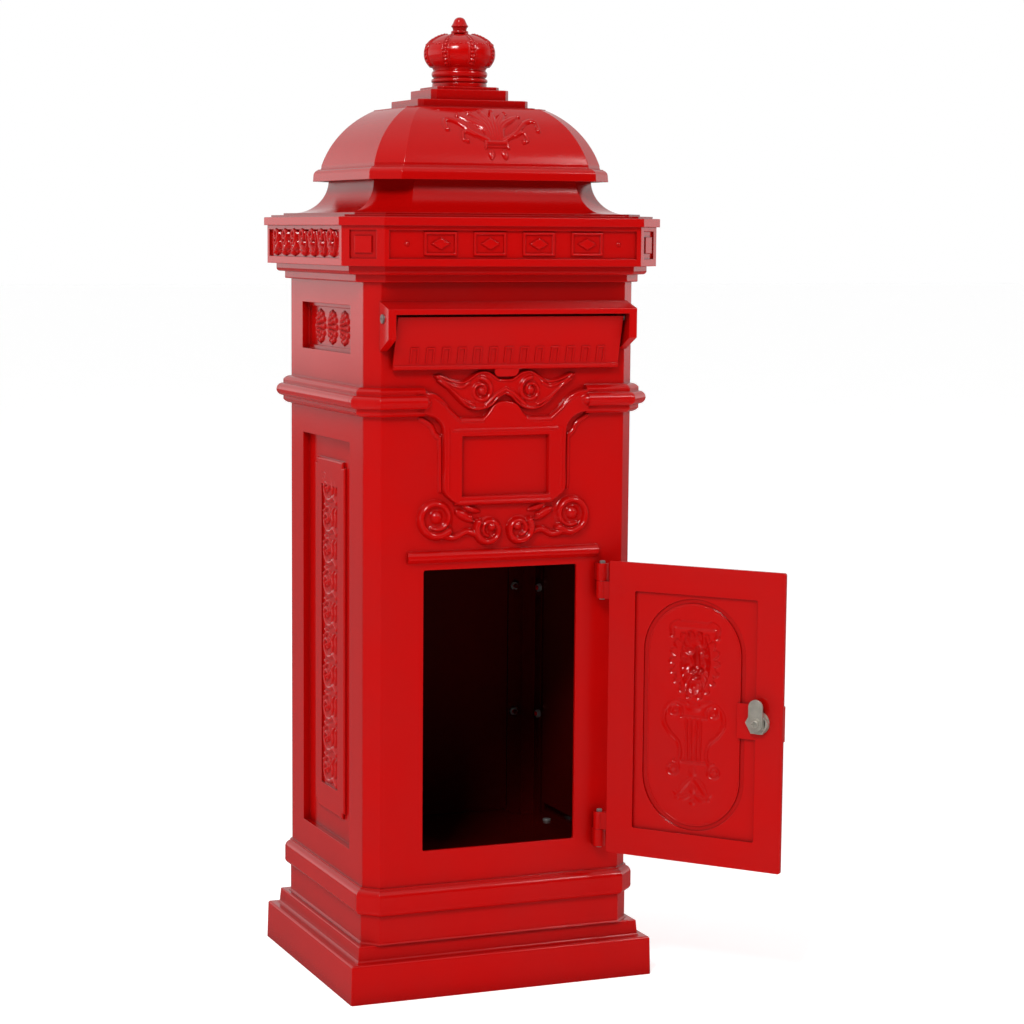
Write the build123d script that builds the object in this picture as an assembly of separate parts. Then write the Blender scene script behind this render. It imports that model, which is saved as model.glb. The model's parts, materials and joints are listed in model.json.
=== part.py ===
from build123d import *
from math import sqrt
import os

# A free-standing cast pillar mailbox with its door open.
# Millimetres. +X is to the right seen from the front, the front faces -Y, +Z is up.
# The origin is at floor level, in the middle of the foot. Every piece is a separate node.

# ---------------------------------------------------------------- driving dimensions
# body shaft
body_width = 301.0
body_depth = 265.0
body_chamfer = 14.5
body_height = 688.5
wall = 3.5
panel_seam = 0.3
# foot
foot_proud_x = 21.5
foot_proud_y = 13.5
foot_chamfer = 1.5
foot_taper = 1.2
skirt_height = 41.5
step_height = 17.0
riser_inset = 11.8
foot_wall = 5.0
# bands on the shaft: projections and heights above the shaft's foot
plinth_proud = 1.5
low_band_bottom = 31.0
low_band_top = 60.0
low_band_proud = 7.5
waist_below_top = 121.7
waist_radius = 7.0
waist_fillet_proud = 8.4
waist_lip = 4.5
# cornice
frieze_proud_x = 25.4
frieze_proud_y = 25.5
frieze_chamfer = 34.0
cornice_wall = 4.0
under_step_height = 7.8
under_round_height = 8.7
frieze_height = 40.8
slab_height = 8.7
slab_proud = 3.4
thin_step_height = 2.2
under_step_proud = 7.7
under_round_proud = 16.3
field_margin_low = 7.5
field_margin_high = 4.5
field_margin_x = 5.0
field_margin_y = 7.0
field_depth = 2.5
corner_square = 15.0
corner_square_inner = 9.5
# neck and dome
neck_inset = 53.0
neck_chamfer = 33.0
neck_cove = 34.0
neck_gain = 1.2
eaves_out = 11.6
dome_chamfer = 26.0
dome_gain = 1.22
dome_wall = 4.0
eaves_height = 13.0
dome_rise = 59.1
dome_bulge = 7.95
dome_foot_inset = 7.7
dome_crest_inset = 55.7
eaves_drop = 4.0
# finial: each tier lies a share of the way from the crown's neck out to the plinth's foot
plinth_inset = 66.0
plinth_foot_height = 1.3
plinth_shares_x = (0.84, 0.35, 0.11)
plinth_shares_y = (0.75, 0.31, 0.11)
plinth_core_x = 2.5
plinth_core_y = -0.5
plinth_chamfer = 5.0
plinth_heights = (8.9, 11.1, 3.4)
crown_neck_r = 28.5
crown_r = 38.3
crown_height = 56.0
bud_r = 9.3
bud_height = 18.1
# door opening and door
opening_width = 173.0
opening_below_waist = 174.3
opening_offset = -2.5
opening_sill = 96.0
door_lap_x = 12.5
door_lap_z = 8.25
door_shift_x = 1.0
door_shift_z = -3.3
door_thickness = 4.0
door_gap = 0.5
door_corner_r = 2.5
panel_margin = 27.0
panel_step = 3.0
oval_margin_x = 41.0
oval_margin_z = 33.5
oval_band = 6.0
oval_pocket = 1.8
ornament_shift = 1.5
boss_width = 40.0
boss_height = 74.0
boss_out = 10.0
boss_wall = 2.2
boss_above_lock = 56.5
lock_from_edge = 26.5
lock_pad_height = 37.0
door_open_angle = 129.5
# hinges
hinge_out = 9.0
hinge_edge_gap = 12.5
knuckle_r = 6.5
pin_r = 3.0
pin_play = 0.05
knuckle_length = 18.5
knuckle_gap = 0.4
hinge_inset = 4.0
# cam lock
lock_r = 9.5
lock_flat = 8.2
bezel_rim = 3.0
nut_wall = 1.5
washer_rim = 2.7
nut_height = 4.5
washer_height = 1.0
plug_r = 6.5
cam_length = 25.0
cam_width = 15.5
cam_thickness = 2.0
# letter slot, hood and flap
slot_end_margin = 20.0
slot_height = 30.0
slot_below_top = 41.5
hood_inset = 12.5
hood_reach = 26.5
hood_wall = 3.2
hood_ear = 8.5
hood_below_top = 19.0
hood_fall = 7.5
hood_lip = 5.5
hood_tab = 4.0
hood_tab_half = 8.0
hood_tab_from_end = 28.0
hood_screw_r = 2.5
hood_screw_head_r = 4.5
ear_front = 38.0
ear_back = 51.0
flap_gap = 4.0
flap_thickness = 3.0
flap_length = 56.0
flap_tilt = 15.0
flap_front = 8.0
pivot_back = 12.0
pivot_drop = 10.0
flap_flutes = 13
flap_end_margin = 13.0
flute_half = 4.6
flute_line = 1.8
flute_proud = 1.0
flute_low = 7.5
flute_high = 24.0
tab_width = 27.0
# inside
angle_leg = 32.0
angle_thickness = 3.0
ledge_share = 0.9
stud_r = 2.5
stud_length = 10.0
stud_rows = 5
nut_across = 8.0
nut_thick = 4.0
floor_drop = 24.5
floor_thickness = 3.0
floor_play = 1.0
cleat_size = 20.0
cleat_length = 150.0
anchor_edge_x = 27.0
anchor_edge_y = 26.0
anchor_hole_r = 5.5
lug_size = 34.0
lug_height = 12.0
rod_r = 5.0
nut_bore_r = 2.9
frame_bolt_r = 3.0
frame_bolt_hole_r = 3.2
frame_bolt_flats = 10.0
frame_nut_height = 4.0
stud_play = 0.3
# recesses in the sides
recess_side_margin = 41.0
recess_widening = 2.0
high_recess_above_waist = 47.0
high_recess_height = 50.0
high_recess_depth = 9.0
tall_recess_above_foot = 91.0
tall_recess_below_waist = 44.5
tall_recess_depth = 7.5
inner_panel_margin_y = 29.1
inner_panel_margin_z = 24.0
inner_panel_depth = 3.9
inner_panel_notch = 6.0
recess_step = 4.0
recess_step_depth = 2.0
strip_half_width = 26.0
strip_margin_z = 28.0
strip_depth = 2.0
# front ornament cast with the panel
drip_above_opening = 13.5
drip_past_opening = 21.0
drip_height = 13.0
drip_proud = 5.5
band_gap_half = 90.3
name_field_below_waist = 68.5
name_frame_half_x = 56.0
name_frame_half_z = 39.0
name_frame_width = 7.0
name_frame_proud = 3.0

# ---------------------------------------------------------------- levels and places
half_x = body_width / 2
half_y = body_depth / 2
foot_width = body_width + 2 * foot_proud_x
foot_depth = body_depth + 2 * foot_proud_y
frieze_width = body_width + 2 * frieze_proud_x
frieze_depth = body_depth + 2 * frieze_proud_y
neck_width = frieze_width - 2 * neck_inset
neck_depth = frieze_depth - 2 * neck_inset
dome_width = neck_width + 2 * eaves_out
dome_depth = neck_depth + 2 * eaves_out
anchor_spacing_x = foot_width - 2 * anchor_edge_x
anchor_spacing_y = foot_depth - 2 * anchor_edge_y
foot_top = skirt_height + step_height
body_top = foot_top + body_height
front_face = -half_y
inner_front = front_face + wall
waist_z = body_top - waist_below_top
frieze_bottom = body_top + under_step_height + under_round_height
slab_bottom = frieze_bottom + frieze_height
slab_top = slab_bottom + slab_height
neck_bottom = slab_top + 2 * thin_step_height
neck_top = neck_bottom + neck_cove
eaves_bottom = neck_top
dome_foot = eaves_bottom + eaves_height + eaves_drop
dome_top = dome_foot + dome_rise
plinth_top = dome_top + sum(plinth_heights)
crown_top = plinth_top + crown_height
seat_z = neck_top + 8.0
sill_z = foot_top + opening_sill
opening_height = waist_z - opening_below_waist - sill_z
opening_mid_z = sill_z + opening_height / 2
opening_left = opening_offset - opening_width / 2
opening_right = opening_offset + opening_width / 2
door_left = opening_left - door_lap_x + door_shift_x
door_right = opening_right + door_lap_x + door_shift_x
door_bottom = sill_z - door_lap_z + door_shift_z
door_top = sill_z + opening_height + door_lap_z + door_shift_z
door_mid_x = (door_left + door_right) / 2
oval_width = door_right - door_left - 2 * oval_margin_x
oval_height = door_top - door_bottom - 2 * oval_margin_z
door_inner_y = front_face - door_gap
door_outer_y = door_inner_y - door_thickness
hinge_x = door_right + hinge_edge_gap
hinge_y = front_face - hinge_out
lock_x = door_left + lock_from_edge
lock_z = (door_bottom + door_top) / 2
slot_z = body_top - slot_below_top - slot_height / 2
hood_width = body_width - 2 * hood_inset
slot_width = hood_width - 2 * slot_end_margin
hood_z = body_top - hood_below_top
hood_front = front_face - hood_reach
hood_front_z = hood_z - hood_fall
ear_inner = hood_width / 2 - hood_ear
flap_half = ear_inner - flap_gap
pivot_y = hood_front + hood_wall + pivot_back
pivot_z = hood_front_z - pivot_drop
floor_z = sill_z - floor_drop
FAR = 600.0


# ---------------------------------------------------------------- shared shapes
def side_prism(half, gain, outline):
    """Everything behind one moulded side: the outline run straight along that side.

    An outline is a list of steps. The first is (offset, z). Each later one is (offset, z)
    for a straight line, or (middle offset, middle z, offset, z) for an arc.
    """
    here = (half + gain * outline[0][0], outline[0][1])
    low_back = (-FAR, here[1])
    edges = [Line(low_back, here)]
    for step in outline[1:]:
        there = (half + gain * step[-2], step[-1])
        if len(step) == 2:
            edges.append(Line(here, there))
        else:
            edges.append(ThreePointArc(here, (half + gain * step[0], step[1]), there))
        here = there
    high_back = (-FAR, here[1])
    edges.append(Line(here, high_back))
    edges.append(Line(high_back, low_back))
    return extrude(Plane.XZ * make_face(edges), FAR, both=True)


def moulding(width, depth, chamfer, outline, gain=1.0):
    """Chamfered block whose four sides and four corners all follow one outline."""
    solid = None
    corner = (width / 2 + depth / 2 - chamfer) / sqrt(2)
    for turn in range(0, 360, 45):
        if turn % 90:
            half, side_gain = corner, gain
        else:
            half, side_gain = (depth / 2 if turn % 180 else width / 2), 1.0
        prism = Rot(0, 0, turn) * side_prism(half, side_gain, outline)
        solid = prism if solid is None else solid & prism
    return solid


def straight(width, depth, chamfer, bottom, top, offset=0.0):
    """Chamfered block with plain vertical sides, its size changed by an offset."""
    return moulding(width, depth, chamfer, [(offset, bottom), (offset, top)])


def block(x0, x1, y0, y1, z0, z1):
    """Box given by its limits."""
    size = (x1 - x0, y1 - y0, z1 - z0)
    return Pos((x0 + x1) / 2, (y0 + y1) / 2, (z0 + z1) / 2) * Box(*size)


def bulged(start, end, bulge):
    """Middle point of an arc that stands out from its chord, to the right of start to end."""
    dx, dz = end[0] - start[0], end[1] - start[1]
    length = sqrt(dx * dx + dz * dz)
    return ((start[0] + end[0]) / 2 + bulge * dz / length, (start[1] + end[1]) / 2 - bulge * dx / length)


def rod(radius, start, length, direction="z"):
    """Cylinder from a start point along +X, +Y or +Z."""
    turn = {"x": Rot(0, 90, 0), "y": Rot(-90, 0, 0), "z": Rot(0, 0, 0)}[direction]
    bar = Cylinder(radius, length, align=(Align.CENTER, Align.CENTER, Align.MIN))
    return Pos(*start) * turn * bar


def hex_nut(across, bore, height, start, direction="z"):
    """Hexagon nut from a start point along +X, +Y or +Z."""
    turn = {"x": Rot(0, 90, 0), "y": Rot(-90, 0, 0), "z": Rot(0, 0, 0)}[direction]
    section = RegularPolygon(across / 2, 6, major_radius=False) - Circle(bore)
    return Pos(*start) * turn * extrude(section, height)


def corners(x, y):
    """The four places (x, y) mirrored about both middle planes."""
    return [(sx * x, sy * y) for sx in (-1, 1) for sy in (-1, 1)]


def closed_to_open(shape):
    """Turns a piece drawn with the door closed to where it is with the door open."""
    return Pos(hinge_x, hinge_y, 0) * Rot(0, 0, door_open_angle) * Pos(-hinge_x, -hinge_y, 0) * shape


def joined(shapes):
    """One node made of several separate solids."""
    return Compound(children=[solid for shape in shapes for solid in shape.solids()])


nodes = {}


# ---------------------------------------------------------------- foot
def make_foot():
    riser = riser_inset
    outline = [
        (0, 0),
        (-foot_taper, skirt_height - 2.5),
        (-foot_taper - 0.7, skirt_height - 0.7, -foot_taper - 2.5, skirt_height),
        (3.3 - riser, skirt_height),
        (0.9 - riser, skirt_height + 1.0, -riser, skirt_height + 3.5),
        (-riser - 1.0, foot_top - 1.2),
        (-riser - 1.4, foot_top - 0.4, -riser - 2.2, foot_top),
    ]
    skirt_in = foot_wall + foot_taper
    riser_in = foot_wall + riser + 1.0
    skirt_top = skirt_height - foot_wall
    outer = moulding(foot_width, foot_depth, foot_chamfer, outline)
    skirt_room = straight(foot_width, foot_depth, foot_chamfer, -1, skirt_top, -skirt_in)
    riser_room = straight(foot_width, foot_depth, foot_chamfer, skirt_top, foot_top - foot_wall, -riser_in)
    ledge = -wall - angle_leg * ledge_share
    mouth = straight(body_width, body_depth, body_chamfer, foot_top - foot_wall - 1, foot_top + 1, ledge)
    nodes["base_casting"] = outer - skirt_room - riser_room - mouth

    lugs = []
    room_x = foot_width / 2 - skirt_in
    room_y = foot_depth / 2 - skirt_in
    for x, y in corners(anchor_spacing_x / 2, anchor_spacing_y / 2):
        sx, sy = (1 if x > 0 else -1), (1 if y > 0 else -1)
        xs = sorted((sx * room_x, sx * (anchor_spacing_x / 2 - lug_size / 2)))
        ys = sorted((sy * room_y, sy * (anchor_spacing_y / 2 - lug_size / 2)))
        lug = block(*xs, *ys, 0, lug_height) & straight(
            foot_width, foot_depth, foot_chamfer, 0, lug_height, -skirt_in
        )
        lugs.append(lug - rod(anchor_hole_r, (x, y, -1), lug_height + 2))
    nodes["anchor_lugs"] = joined(lugs)


# ---------------------------------------------------------------- shaft
def shaft_outline(waist):
    """Outside of the shaft, with or without the half-round waist moulding."""
    low0 = foot_top + low_band_bottom
    low1 = foot_top + low_band_top
    proud = low_band_proud
    outline = [
        (plinth_proud + 2.5, foot_top),
        (plinth_proud + 0.7, foot_top + 0.7, plinth_proud, foot_top + 2.5),
        (plinth_proud, low0),
        (proud - 4.5, low0),
        (proud - 1.0, low0 + 2.4, proud, low0 + 7.0),
        (proud, low1 - 10.0),
        (proud - 1.3, low1 - 5.0, proud - 5.3, low1 - 1.8),
        (proud - 5.3, low1),
        (0, low1),
    ]
    if waist:
        r = waist_radius
        fillet = waist_fillet_proud
        lip = r + waist_lip
        outline += [
            (0, waist_z - lip - fillet * 0.45),
            (fillet * 0.6, waist_z - lip - fillet * 0.3, fillet, waist_z - lip + 0.5),
            (fillet, waist_z - r),
            (fillet + r, waist_z, fillet, waist_z + r),
            (fillet, waist_z + lip - 0.5),
            (fillet * 0.6, waist_z + lip + fillet * 0.3, 0, waist_z + lip + fillet * 0.45),
        ]
    outline.append((0, body_top))
    return outline


def sunk_panel(depth_sign, low, high, half_length, depth):
    """Pocket in a side panel and the thicker metal behind it, on the +X or -X side."""
    face = depth_sign * half_x
    floor = depth_sign * (half_x - depth)
    back = depth_sign * (half_x - depth - wall)
    pocket = block(*sorted((floor, face + depth_sign * 30)), -half_length, half_length, low, high)
    reach = half_length + wall
    metal = block(*sorted((back, face - depth_sign * wall / 2)), -reach, reach, low - wall, high + wall)
    return pocket, metal


def notched_panel(sign, half_length, low, high):
    """Raised inner panel with a small square notch in each corner, on the +X or -X side."""
    xs = sorted((sign * (half_x - tall_recess_depth - 1.5), sign * (half_x - inner_panel_depth)))
    notch = inner_panel_notch
    upright = block(*xs, notch - half_length, half_length - notch, low, high)
    across = block(*xs, -half_length, half_length, low + notch, high - notch)
    raised = chamfer((upright + across).edges().group_by(Axis.X)[-1 if sign > 0 else 0], 1.5)
    strip_xs = sorted((sign * (half_x - inner_panel_depth - strip_depth), sign * half_x))
    low, high = low + strip_margin_z, high - strip_margin_z
    return raised - block(*strip_xs, -strip_half_width, strip_half_width, low, high)


def stud_places():
    """Heights of the rows of studs that hold the corner angles."""
    first = foot_top + 40.0
    last = body_top - 60.0
    return [first + (last - first) * i / (stud_rows - 1) for i in range(stud_rows)]


def name_frame(inset):
    """Block of the name field's frame, or of its inside."""
    x, z = name_frame_half_x - inset, name_frame_half_z - inset
    mid_z = waist_z - name_field_below_waist
    return block(-x, x, front_face - name_frame_proud, front_face, mid_z - z, mid_z + z)


def shaft_panels():
    plain = moulding(body_width, body_depth, body_chamfer, shaft_outline(False))
    banded = moulding(body_width, body_depth, body_chamfer, shaft_outline(True))
    room = straight(body_width, body_depth, body_chamfer, foot_top - 1, body_top + 1, -wall)
    seam_y = half_y - body_chamfer
    wide = half_x + 50

    # the waist moulding stops on each side of the ornament on the front
    middle = block(-band_gap_half, band_gap_half, -FAR, 0, foot_top, body_top)
    shaft = banded - room
    front = shaft & block(-wide, wide, -half_y - 50, -seam_y, foot_top, body_top)
    front = (front - middle) + ((plain - room) & middle & block(-wide, wide, -FAR, -seam_y, foot_top, body_top))
    back = shaft & block(-wide, wide, seam_y, half_y + 50, foot_top, body_top)
    side_y = seam_y - panel_seam

    # door opening, slot, drip moulding, name field
    opening = block(
        opening_left, opening_right, -FAR, -half_y + 3 * wall, sill_z, sill_z + opening_height
    )
    opening = fillet(opening.edges().filter_by(Axis.Y), door_corner_r)
    slot = block(
        -slot_width / 2, slot_width / 2, -FAR, -half_y + 3 * wall, slot_z - slot_height / 2, slot_z + slot_height / 2
    )
    drip_low = sill_z + opening_height + drip_above_opening - drip_height / 2
    drip_high = drip_low + drip_height
    drip_y = front_face - drip_proud
    drip_section = make_face(
        [
            Line((front_face, drip_low), (front_face, drip_high)),
            ThreePointArc((front_face, drip_high), (drip_y, drip_high - 5.0), (drip_y, drip_low + 4.0)),
            Line((drip_y, drip_low + 4.0), (front_face, drip_low)),
        ]
    )
    drip = extrude(Plane.YZ * drip_section, opening_width / 2 + drip_past_opening, both=True)
    frame = name_frame(0) - name_frame(name_frame_width)
    frame = chamfer(frame.edges().group_by(Axis.Y)[0], 1.2)
    front = front - opening - slot + drip + frame

    # cast studs on the inner faces
    seam_stud_y = seam_y - panel_seam - angle_leg * 0.55
    seam_stud_x = half_x - body_chamfer - angle_leg * 0.45
    for z in stud_places():
        for sx in (-1, 1):
            front += rod(stud_r, (sx * seam_stud_x, inner_front, z), stud_length, "y")
            back += rod(stud_r, (sx * seam_stud_x, -inner_front - stud_length, z), stud_length, "y")

    sides = {}
    for name, sign in (("left_panel", -1), ("right_panel", 1)):
        side = shaft & block(*sorted((0, sign * wide)), -side_y, side_y, foot_top, body_top)
        half_length = side_y - recess_side_margin
        high_low = waist_z + high_recess_above_waist
        high_half = half_length + recess_widening
        high_high = high_low + high_recess_height
        high_pocket, high_metal = sunk_panel(sign, high_low, high_high, high_half, high_recess_depth)
        edge_xs = sorted((sign * (half_x - high_recess_depth - 1), sign * (half_x - high_recess_depth + recess_step_depth)))
        edge_y = high_half - recess_step
        edge = block(*edge_xs, -high_half - 1, high_half + 1, high_low - 1, high_high + 1)
        edge -= block(*edge_xs, -edge_y, edge_y, high_low + recess_step, high_high - recess_step)
        tall_low = foot_top + tall_recess_above_foot
        tall_high = waist_z - tall_recess_below_waist
        tall_pocket, tall_metal = sunk_panel(sign, tall_low, tall_high, half_length, tall_recess_depth)
        side = side + high_metal + tall_metal - high_pocket - tall_pocket + edge
        side += notched_panel(
            sign,
            half_length - inner_panel_margin_y,
            tall_low + inner_panel_margin_z,
            tall_high - inner_panel_margin_z,
        )
        for z in stud_places():
            for sy in (-1, 1):
                start = sign * (half_x - wall)
                x = start - stud_length if sign > 0 else start
                side += rod(stud_r, (x, sy * seam_stud_y, z), stud_length, "x")
        sides[name] = side

    nodes["front_panel"] = front
    nodes["back_panel"] = back
    nodes.update(sides)
    return seam_stud_x, seam_stud_y


def frame_bolt(x, y, low, high):
    """Hexagon bolt with its head under the low face and its nut on the high one."""
    height = frame_nut_height
    bolt = rod(frame_bolt_r, (x, y, low - height), high - low + 2 * height + 1)
    bolt += hex_nut(frame_bolt_flats, nut_bore_r, height, (x, y, low - height))
    return bolt + hex_nut(frame_bolt_flats, nut_bore_r, height, (x, y, high))


def corner_frame(seam_stud_x, seam_stud_y):
    """Bent angles inside the four corners, with end cleats, and the nuts that hold them."""
    low = foot_top
    high = body_top
    outer = straight(body_width, body_depth, body_chamfer, low, high, -wall)
    inner = straight(body_width, body_depth, body_chamfer, low - 1, high + 1, -wall - angle_thickness)
    x_in = half_x - wall - angle_leg
    y_in = half_y - wall - angle_leg
    angles, nuts = [], []
    for sx, sy in corners(1, 1):
        box = block(*sorted((sx * x_in, sx * FAR)), *sorted((sy * y_in, sy * FAR)), low, high)
        angle = (outer - inner) & box
        for z in (low, high - angle_thickness):
            angle += outer & box & block(-FAR, FAR, -FAR, FAR, z, z + angle_thickness)
        for z in stud_places():
            y_start = sy * (half_y - wall - angle_thickness - 1)
            angle -= rod(stud_r + stud_play, (sx * seam_stud_x, min(y_start, y_start + sy * 6), z), 6, "y")
            x_start = sx * (half_x - wall - angle_thickness - 1)
            angle -= rod(stud_r + stud_play, (min(x_start, x_start + sx * 6), sy * seam_stud_y, z), 6, "x")
            y_nut = sy * (half_y - wall - angle_thickness)
            y_nut = y_nut - nut_thick if sy > 0 else y_nut
            nuts.append(hex_nut(nut_across, stud_r, nut_thick, (sx * seam_stud_x, y_nut, z), "y"))
            x_nut = sx * (half_x - wall - angle_thickness)
            x_nut = x_nut - nut_thick if sx > 0 else x_nut
            nuts.append(hex_nut(nut_across, stud_r, nut_thick, (x_nut, sy * seam_stud_y, z), "x"))
        angles.append(angle)

    # bolts through the end cleats into the foot and the cornice
    bolt_x = x_in + angle_leg * 0.4
    bolt_y = y_in + angle_leg * 0.4
    angles = [a for angle in angles for a in angle.solids()]
    frame = joined(angles)
    base_bolts, top_bolts = [], []
    for x, y in corners(bolt_x, bolt_y):
        frame = frame - rod(frame_bolt_hole_r, (x, y, low - 1), 6) - rod(frame_bolt_hole_r, (x, y, high - 5), 6)
        nodes["base_casting"] -= rod(frame_bolt_hole_r, (x, y, low - foot_wall - 1), foot_wall + 2)
        base_bolts.append(frame_bolt(x, y, low - foot_wall, low + angle_thickness))
        top_bolts.append(frame_bolt(x, y, high - angle_thickness, high + cornice_wall))
    nodes["corner_angles"] = frame
    nodes["panel_nuts"] = joined(nuts)
    nodes["base_bolts"] = joined(base_bolts)
    nodes["cornice_bolts"] = joined(top_bolts)
    return bolt_x, bolt_y


# ---------------------------------------------------------------- cornice, neck, dome
def roof(bolt_x, bolt_y):
    under = under_step_proud - frieze_proud_x
    step_top = body_top + under_step_height
    round_p = under_round_proud - frieze_proud_x
    outline = [
        (under - 1.2, body_top),
        (under - 0.3, body_top + 0.4, under, body_top + 1.5),
        (under, step_top),
        (round_p - 4.0, step_top),
        (round_p - 1.0, step_top + 1.2, round_p, step_top + 4.5),
        (round_p, frieze_bottom),
        (0, frieze_bottom),
        (0, slab_bottom),
        (slab_proud, slab_bottom),
        (slab_proud, slab_top - 0.8),
        (slab_proud - 0.3, slab_top - 0.2, slab_proud - 1, slab_top),
        (slab_proud - 7.3, slab_top),
        (slab_proud - 7.3, slab_top + thin_step_height),
        (slab_proud - 19.8, slab_top + thin_step_height),
        (slab_proud - 19.8, neck_bottom),
    ]
    outer = moulding(frieze_width, frieze_depth, frieze_chamfer, outline)
    lower_room = straight(
        frieze_width, frieze_depth, frieze_chamfer, body_top + cornice_wall, frieze_bottom + 4, under - cornice_wall - 1
    )
    frieze_room = straight(
        frieze_width, frieze_depth, frieze_chamfer, frieze_bottom + 4, slab_top - cornice_wall, -cornice_wall - 3
    )
    mouth = straight(body_width, body_depth, body_chamfer, body_top - 1, body_top + 9, -wall - angle_leg * ledge_share)
    throat = straight(neck_width, neck_depth, neck_chamfer, slab_top - 9, neck_bottom + 1, -18)
    cornice = outer - lower_room - frieze_room - mouth - throat
    # sunk field on the front and back of the frieze, and on its sides
    field_half_x = frieze_width / 2 - frieze_chamfer - field_margin_x
    field_half_y = frieze_depth / 2 - frieze_chamfer - field_margin_y
    low, high = frieze_bottom + field_margin_low, slab_bottom - field_margin_high
    for sign in (-1, 1):
        ys = sorted((sign * (frieze_depth / 2 - field_depth), sign * FAR))
        xs = sorted((sign * (frieze_width / 2 - field_depth), sign * FAR))
        cornice -= block(-field_half_x, field_half_x, *ys, low, high)
        cornice -= block(*xs, -field_half_y, field_half_y, low, high)
    # sunk square with a raised square inside it on every corner
    corner_d = (frieze_width / 2 + frieze_depth / 2 - frieze_chamfer) / sqrt(2)
    shift = (frieze_width - frieze_depth) / 2 / sqrt(2)
    for turn, side in ((45, -1), (135, 1), (225, -1), (315, 1)):
        frame = block(corner_d - 2, FAR, -corner_square, corner_square, low, high)
        frame -= block(corner_d - 2, corner_d, -corner_square_inner, corner_square_inner, low + 6, high - 6)
        cornice -= Rot(0, 0, turn) * Pos(0, side * shift, 0) * frame
    for x, y in corners(bolt_x, bolt_y):
        cornice -= rod(frame_bolt_hole_r, (x, y, body_top - 1), cornice_wall + 2)

    neck_outline = [
        (neck_cove, neck_bottom),
        (neck_cove * 0.293, neck_bottom + neck_cove * 0.293, 0, neck_top),
        (0, seat_z),
    ]
    neck = moulding(neck_width, neck_depth, neck_chamfer, neck_outline, neck_gain)
    neck -= straight(neck_width, neck_depth, neck_chamfer, neck_bottom + 4, seat_z - 4, -5)
    neck -= straight(neck_width, neck_depth, neck_chamfer, neck_bottom - 1, seat_z + 1, -18)
    screw_x, screw_y = neck_width / 2 - 12.0, neck_depth / 2 - neck_chamfer - 5.0
    screws = []
    for x, y in corners(screw_x, screw_y):
        hole = rod(2.7, (x, y, neck_bottom - 9), 14)
        neck -= hole
        cornice -= hole
        screw = rod(2.5, (x, y, slab_top - cornice_wall - 5), neck_bottom + 4 - slab_top + cornice_wall + 5)
        screw += rod(4.5, (x, y, neck_bottom + 4), 2.6)
        screws.append(screw + hex_nut(8, 2.4, 4, (x, y, slab_top - cornice_wall - 4)))
    nodes["cornice"] = cornice
    nodes["neck"] = neck
    nodes["neck_screws"] = joined(screws)

    inset = dome_foot_inset
    fascia = eaves_height * 0.52
    crest_z = dome_top - 0.6
    foot_at, crest_at = (-inset, dome_foot), (-dome_crest_inset, crest_z)
    middle = bulged(foot_at, crest_at, dome_bulge)
    dome_outline = [
        (0, eaves_bottom),
        (-0.4, eaves_bottom + fascia),
        (-1.6, eaves_bottom + fascia + 3.4, -4.4, eaves_bottom + eaves_height - 0.6),
        (-4.4, eaves_bottom + eaves_height),
        (-inset + 0.8, eaves_bottom + eaves_height),
        (-inset + 0.2, dome_foot - 2.6, *foot_at),
        (*middle, *crest_at),
        (-dome_crest_inset, dome_top),
    ]
    dome = moulding(dome_width, dome_depth, dome_chamfer, dome_outline, dome_gain)
    foot_in, crest_in = (-inset - dome_wall, dome_foot), (-dome_crest_inset - 2, crest_z - dome_wall)
    cavity = [(-inset - dome_wall, seat_z + 4), foot_in, (*bulged(foot_in, crest_in, dome_bulge), *crest_in)]
    dome -= moulding(dome_width, dome_depth, dome_chamfer, cavity, dome_gain)
    dome -= straight(dome_width, dome_depth, dome_chamfer, eaves_bottom - 1, seat_z, -dome_wall - 0.5)
    dome -= straight(neck_width, neck_depth, neck_chamfer, seat_z - 1, seat_z + 5, -18)
    dome -= rod(rod_r + 0.5, (0, 0, dome_top - 12), 20)
    nodes["dome"] = dome


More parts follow.
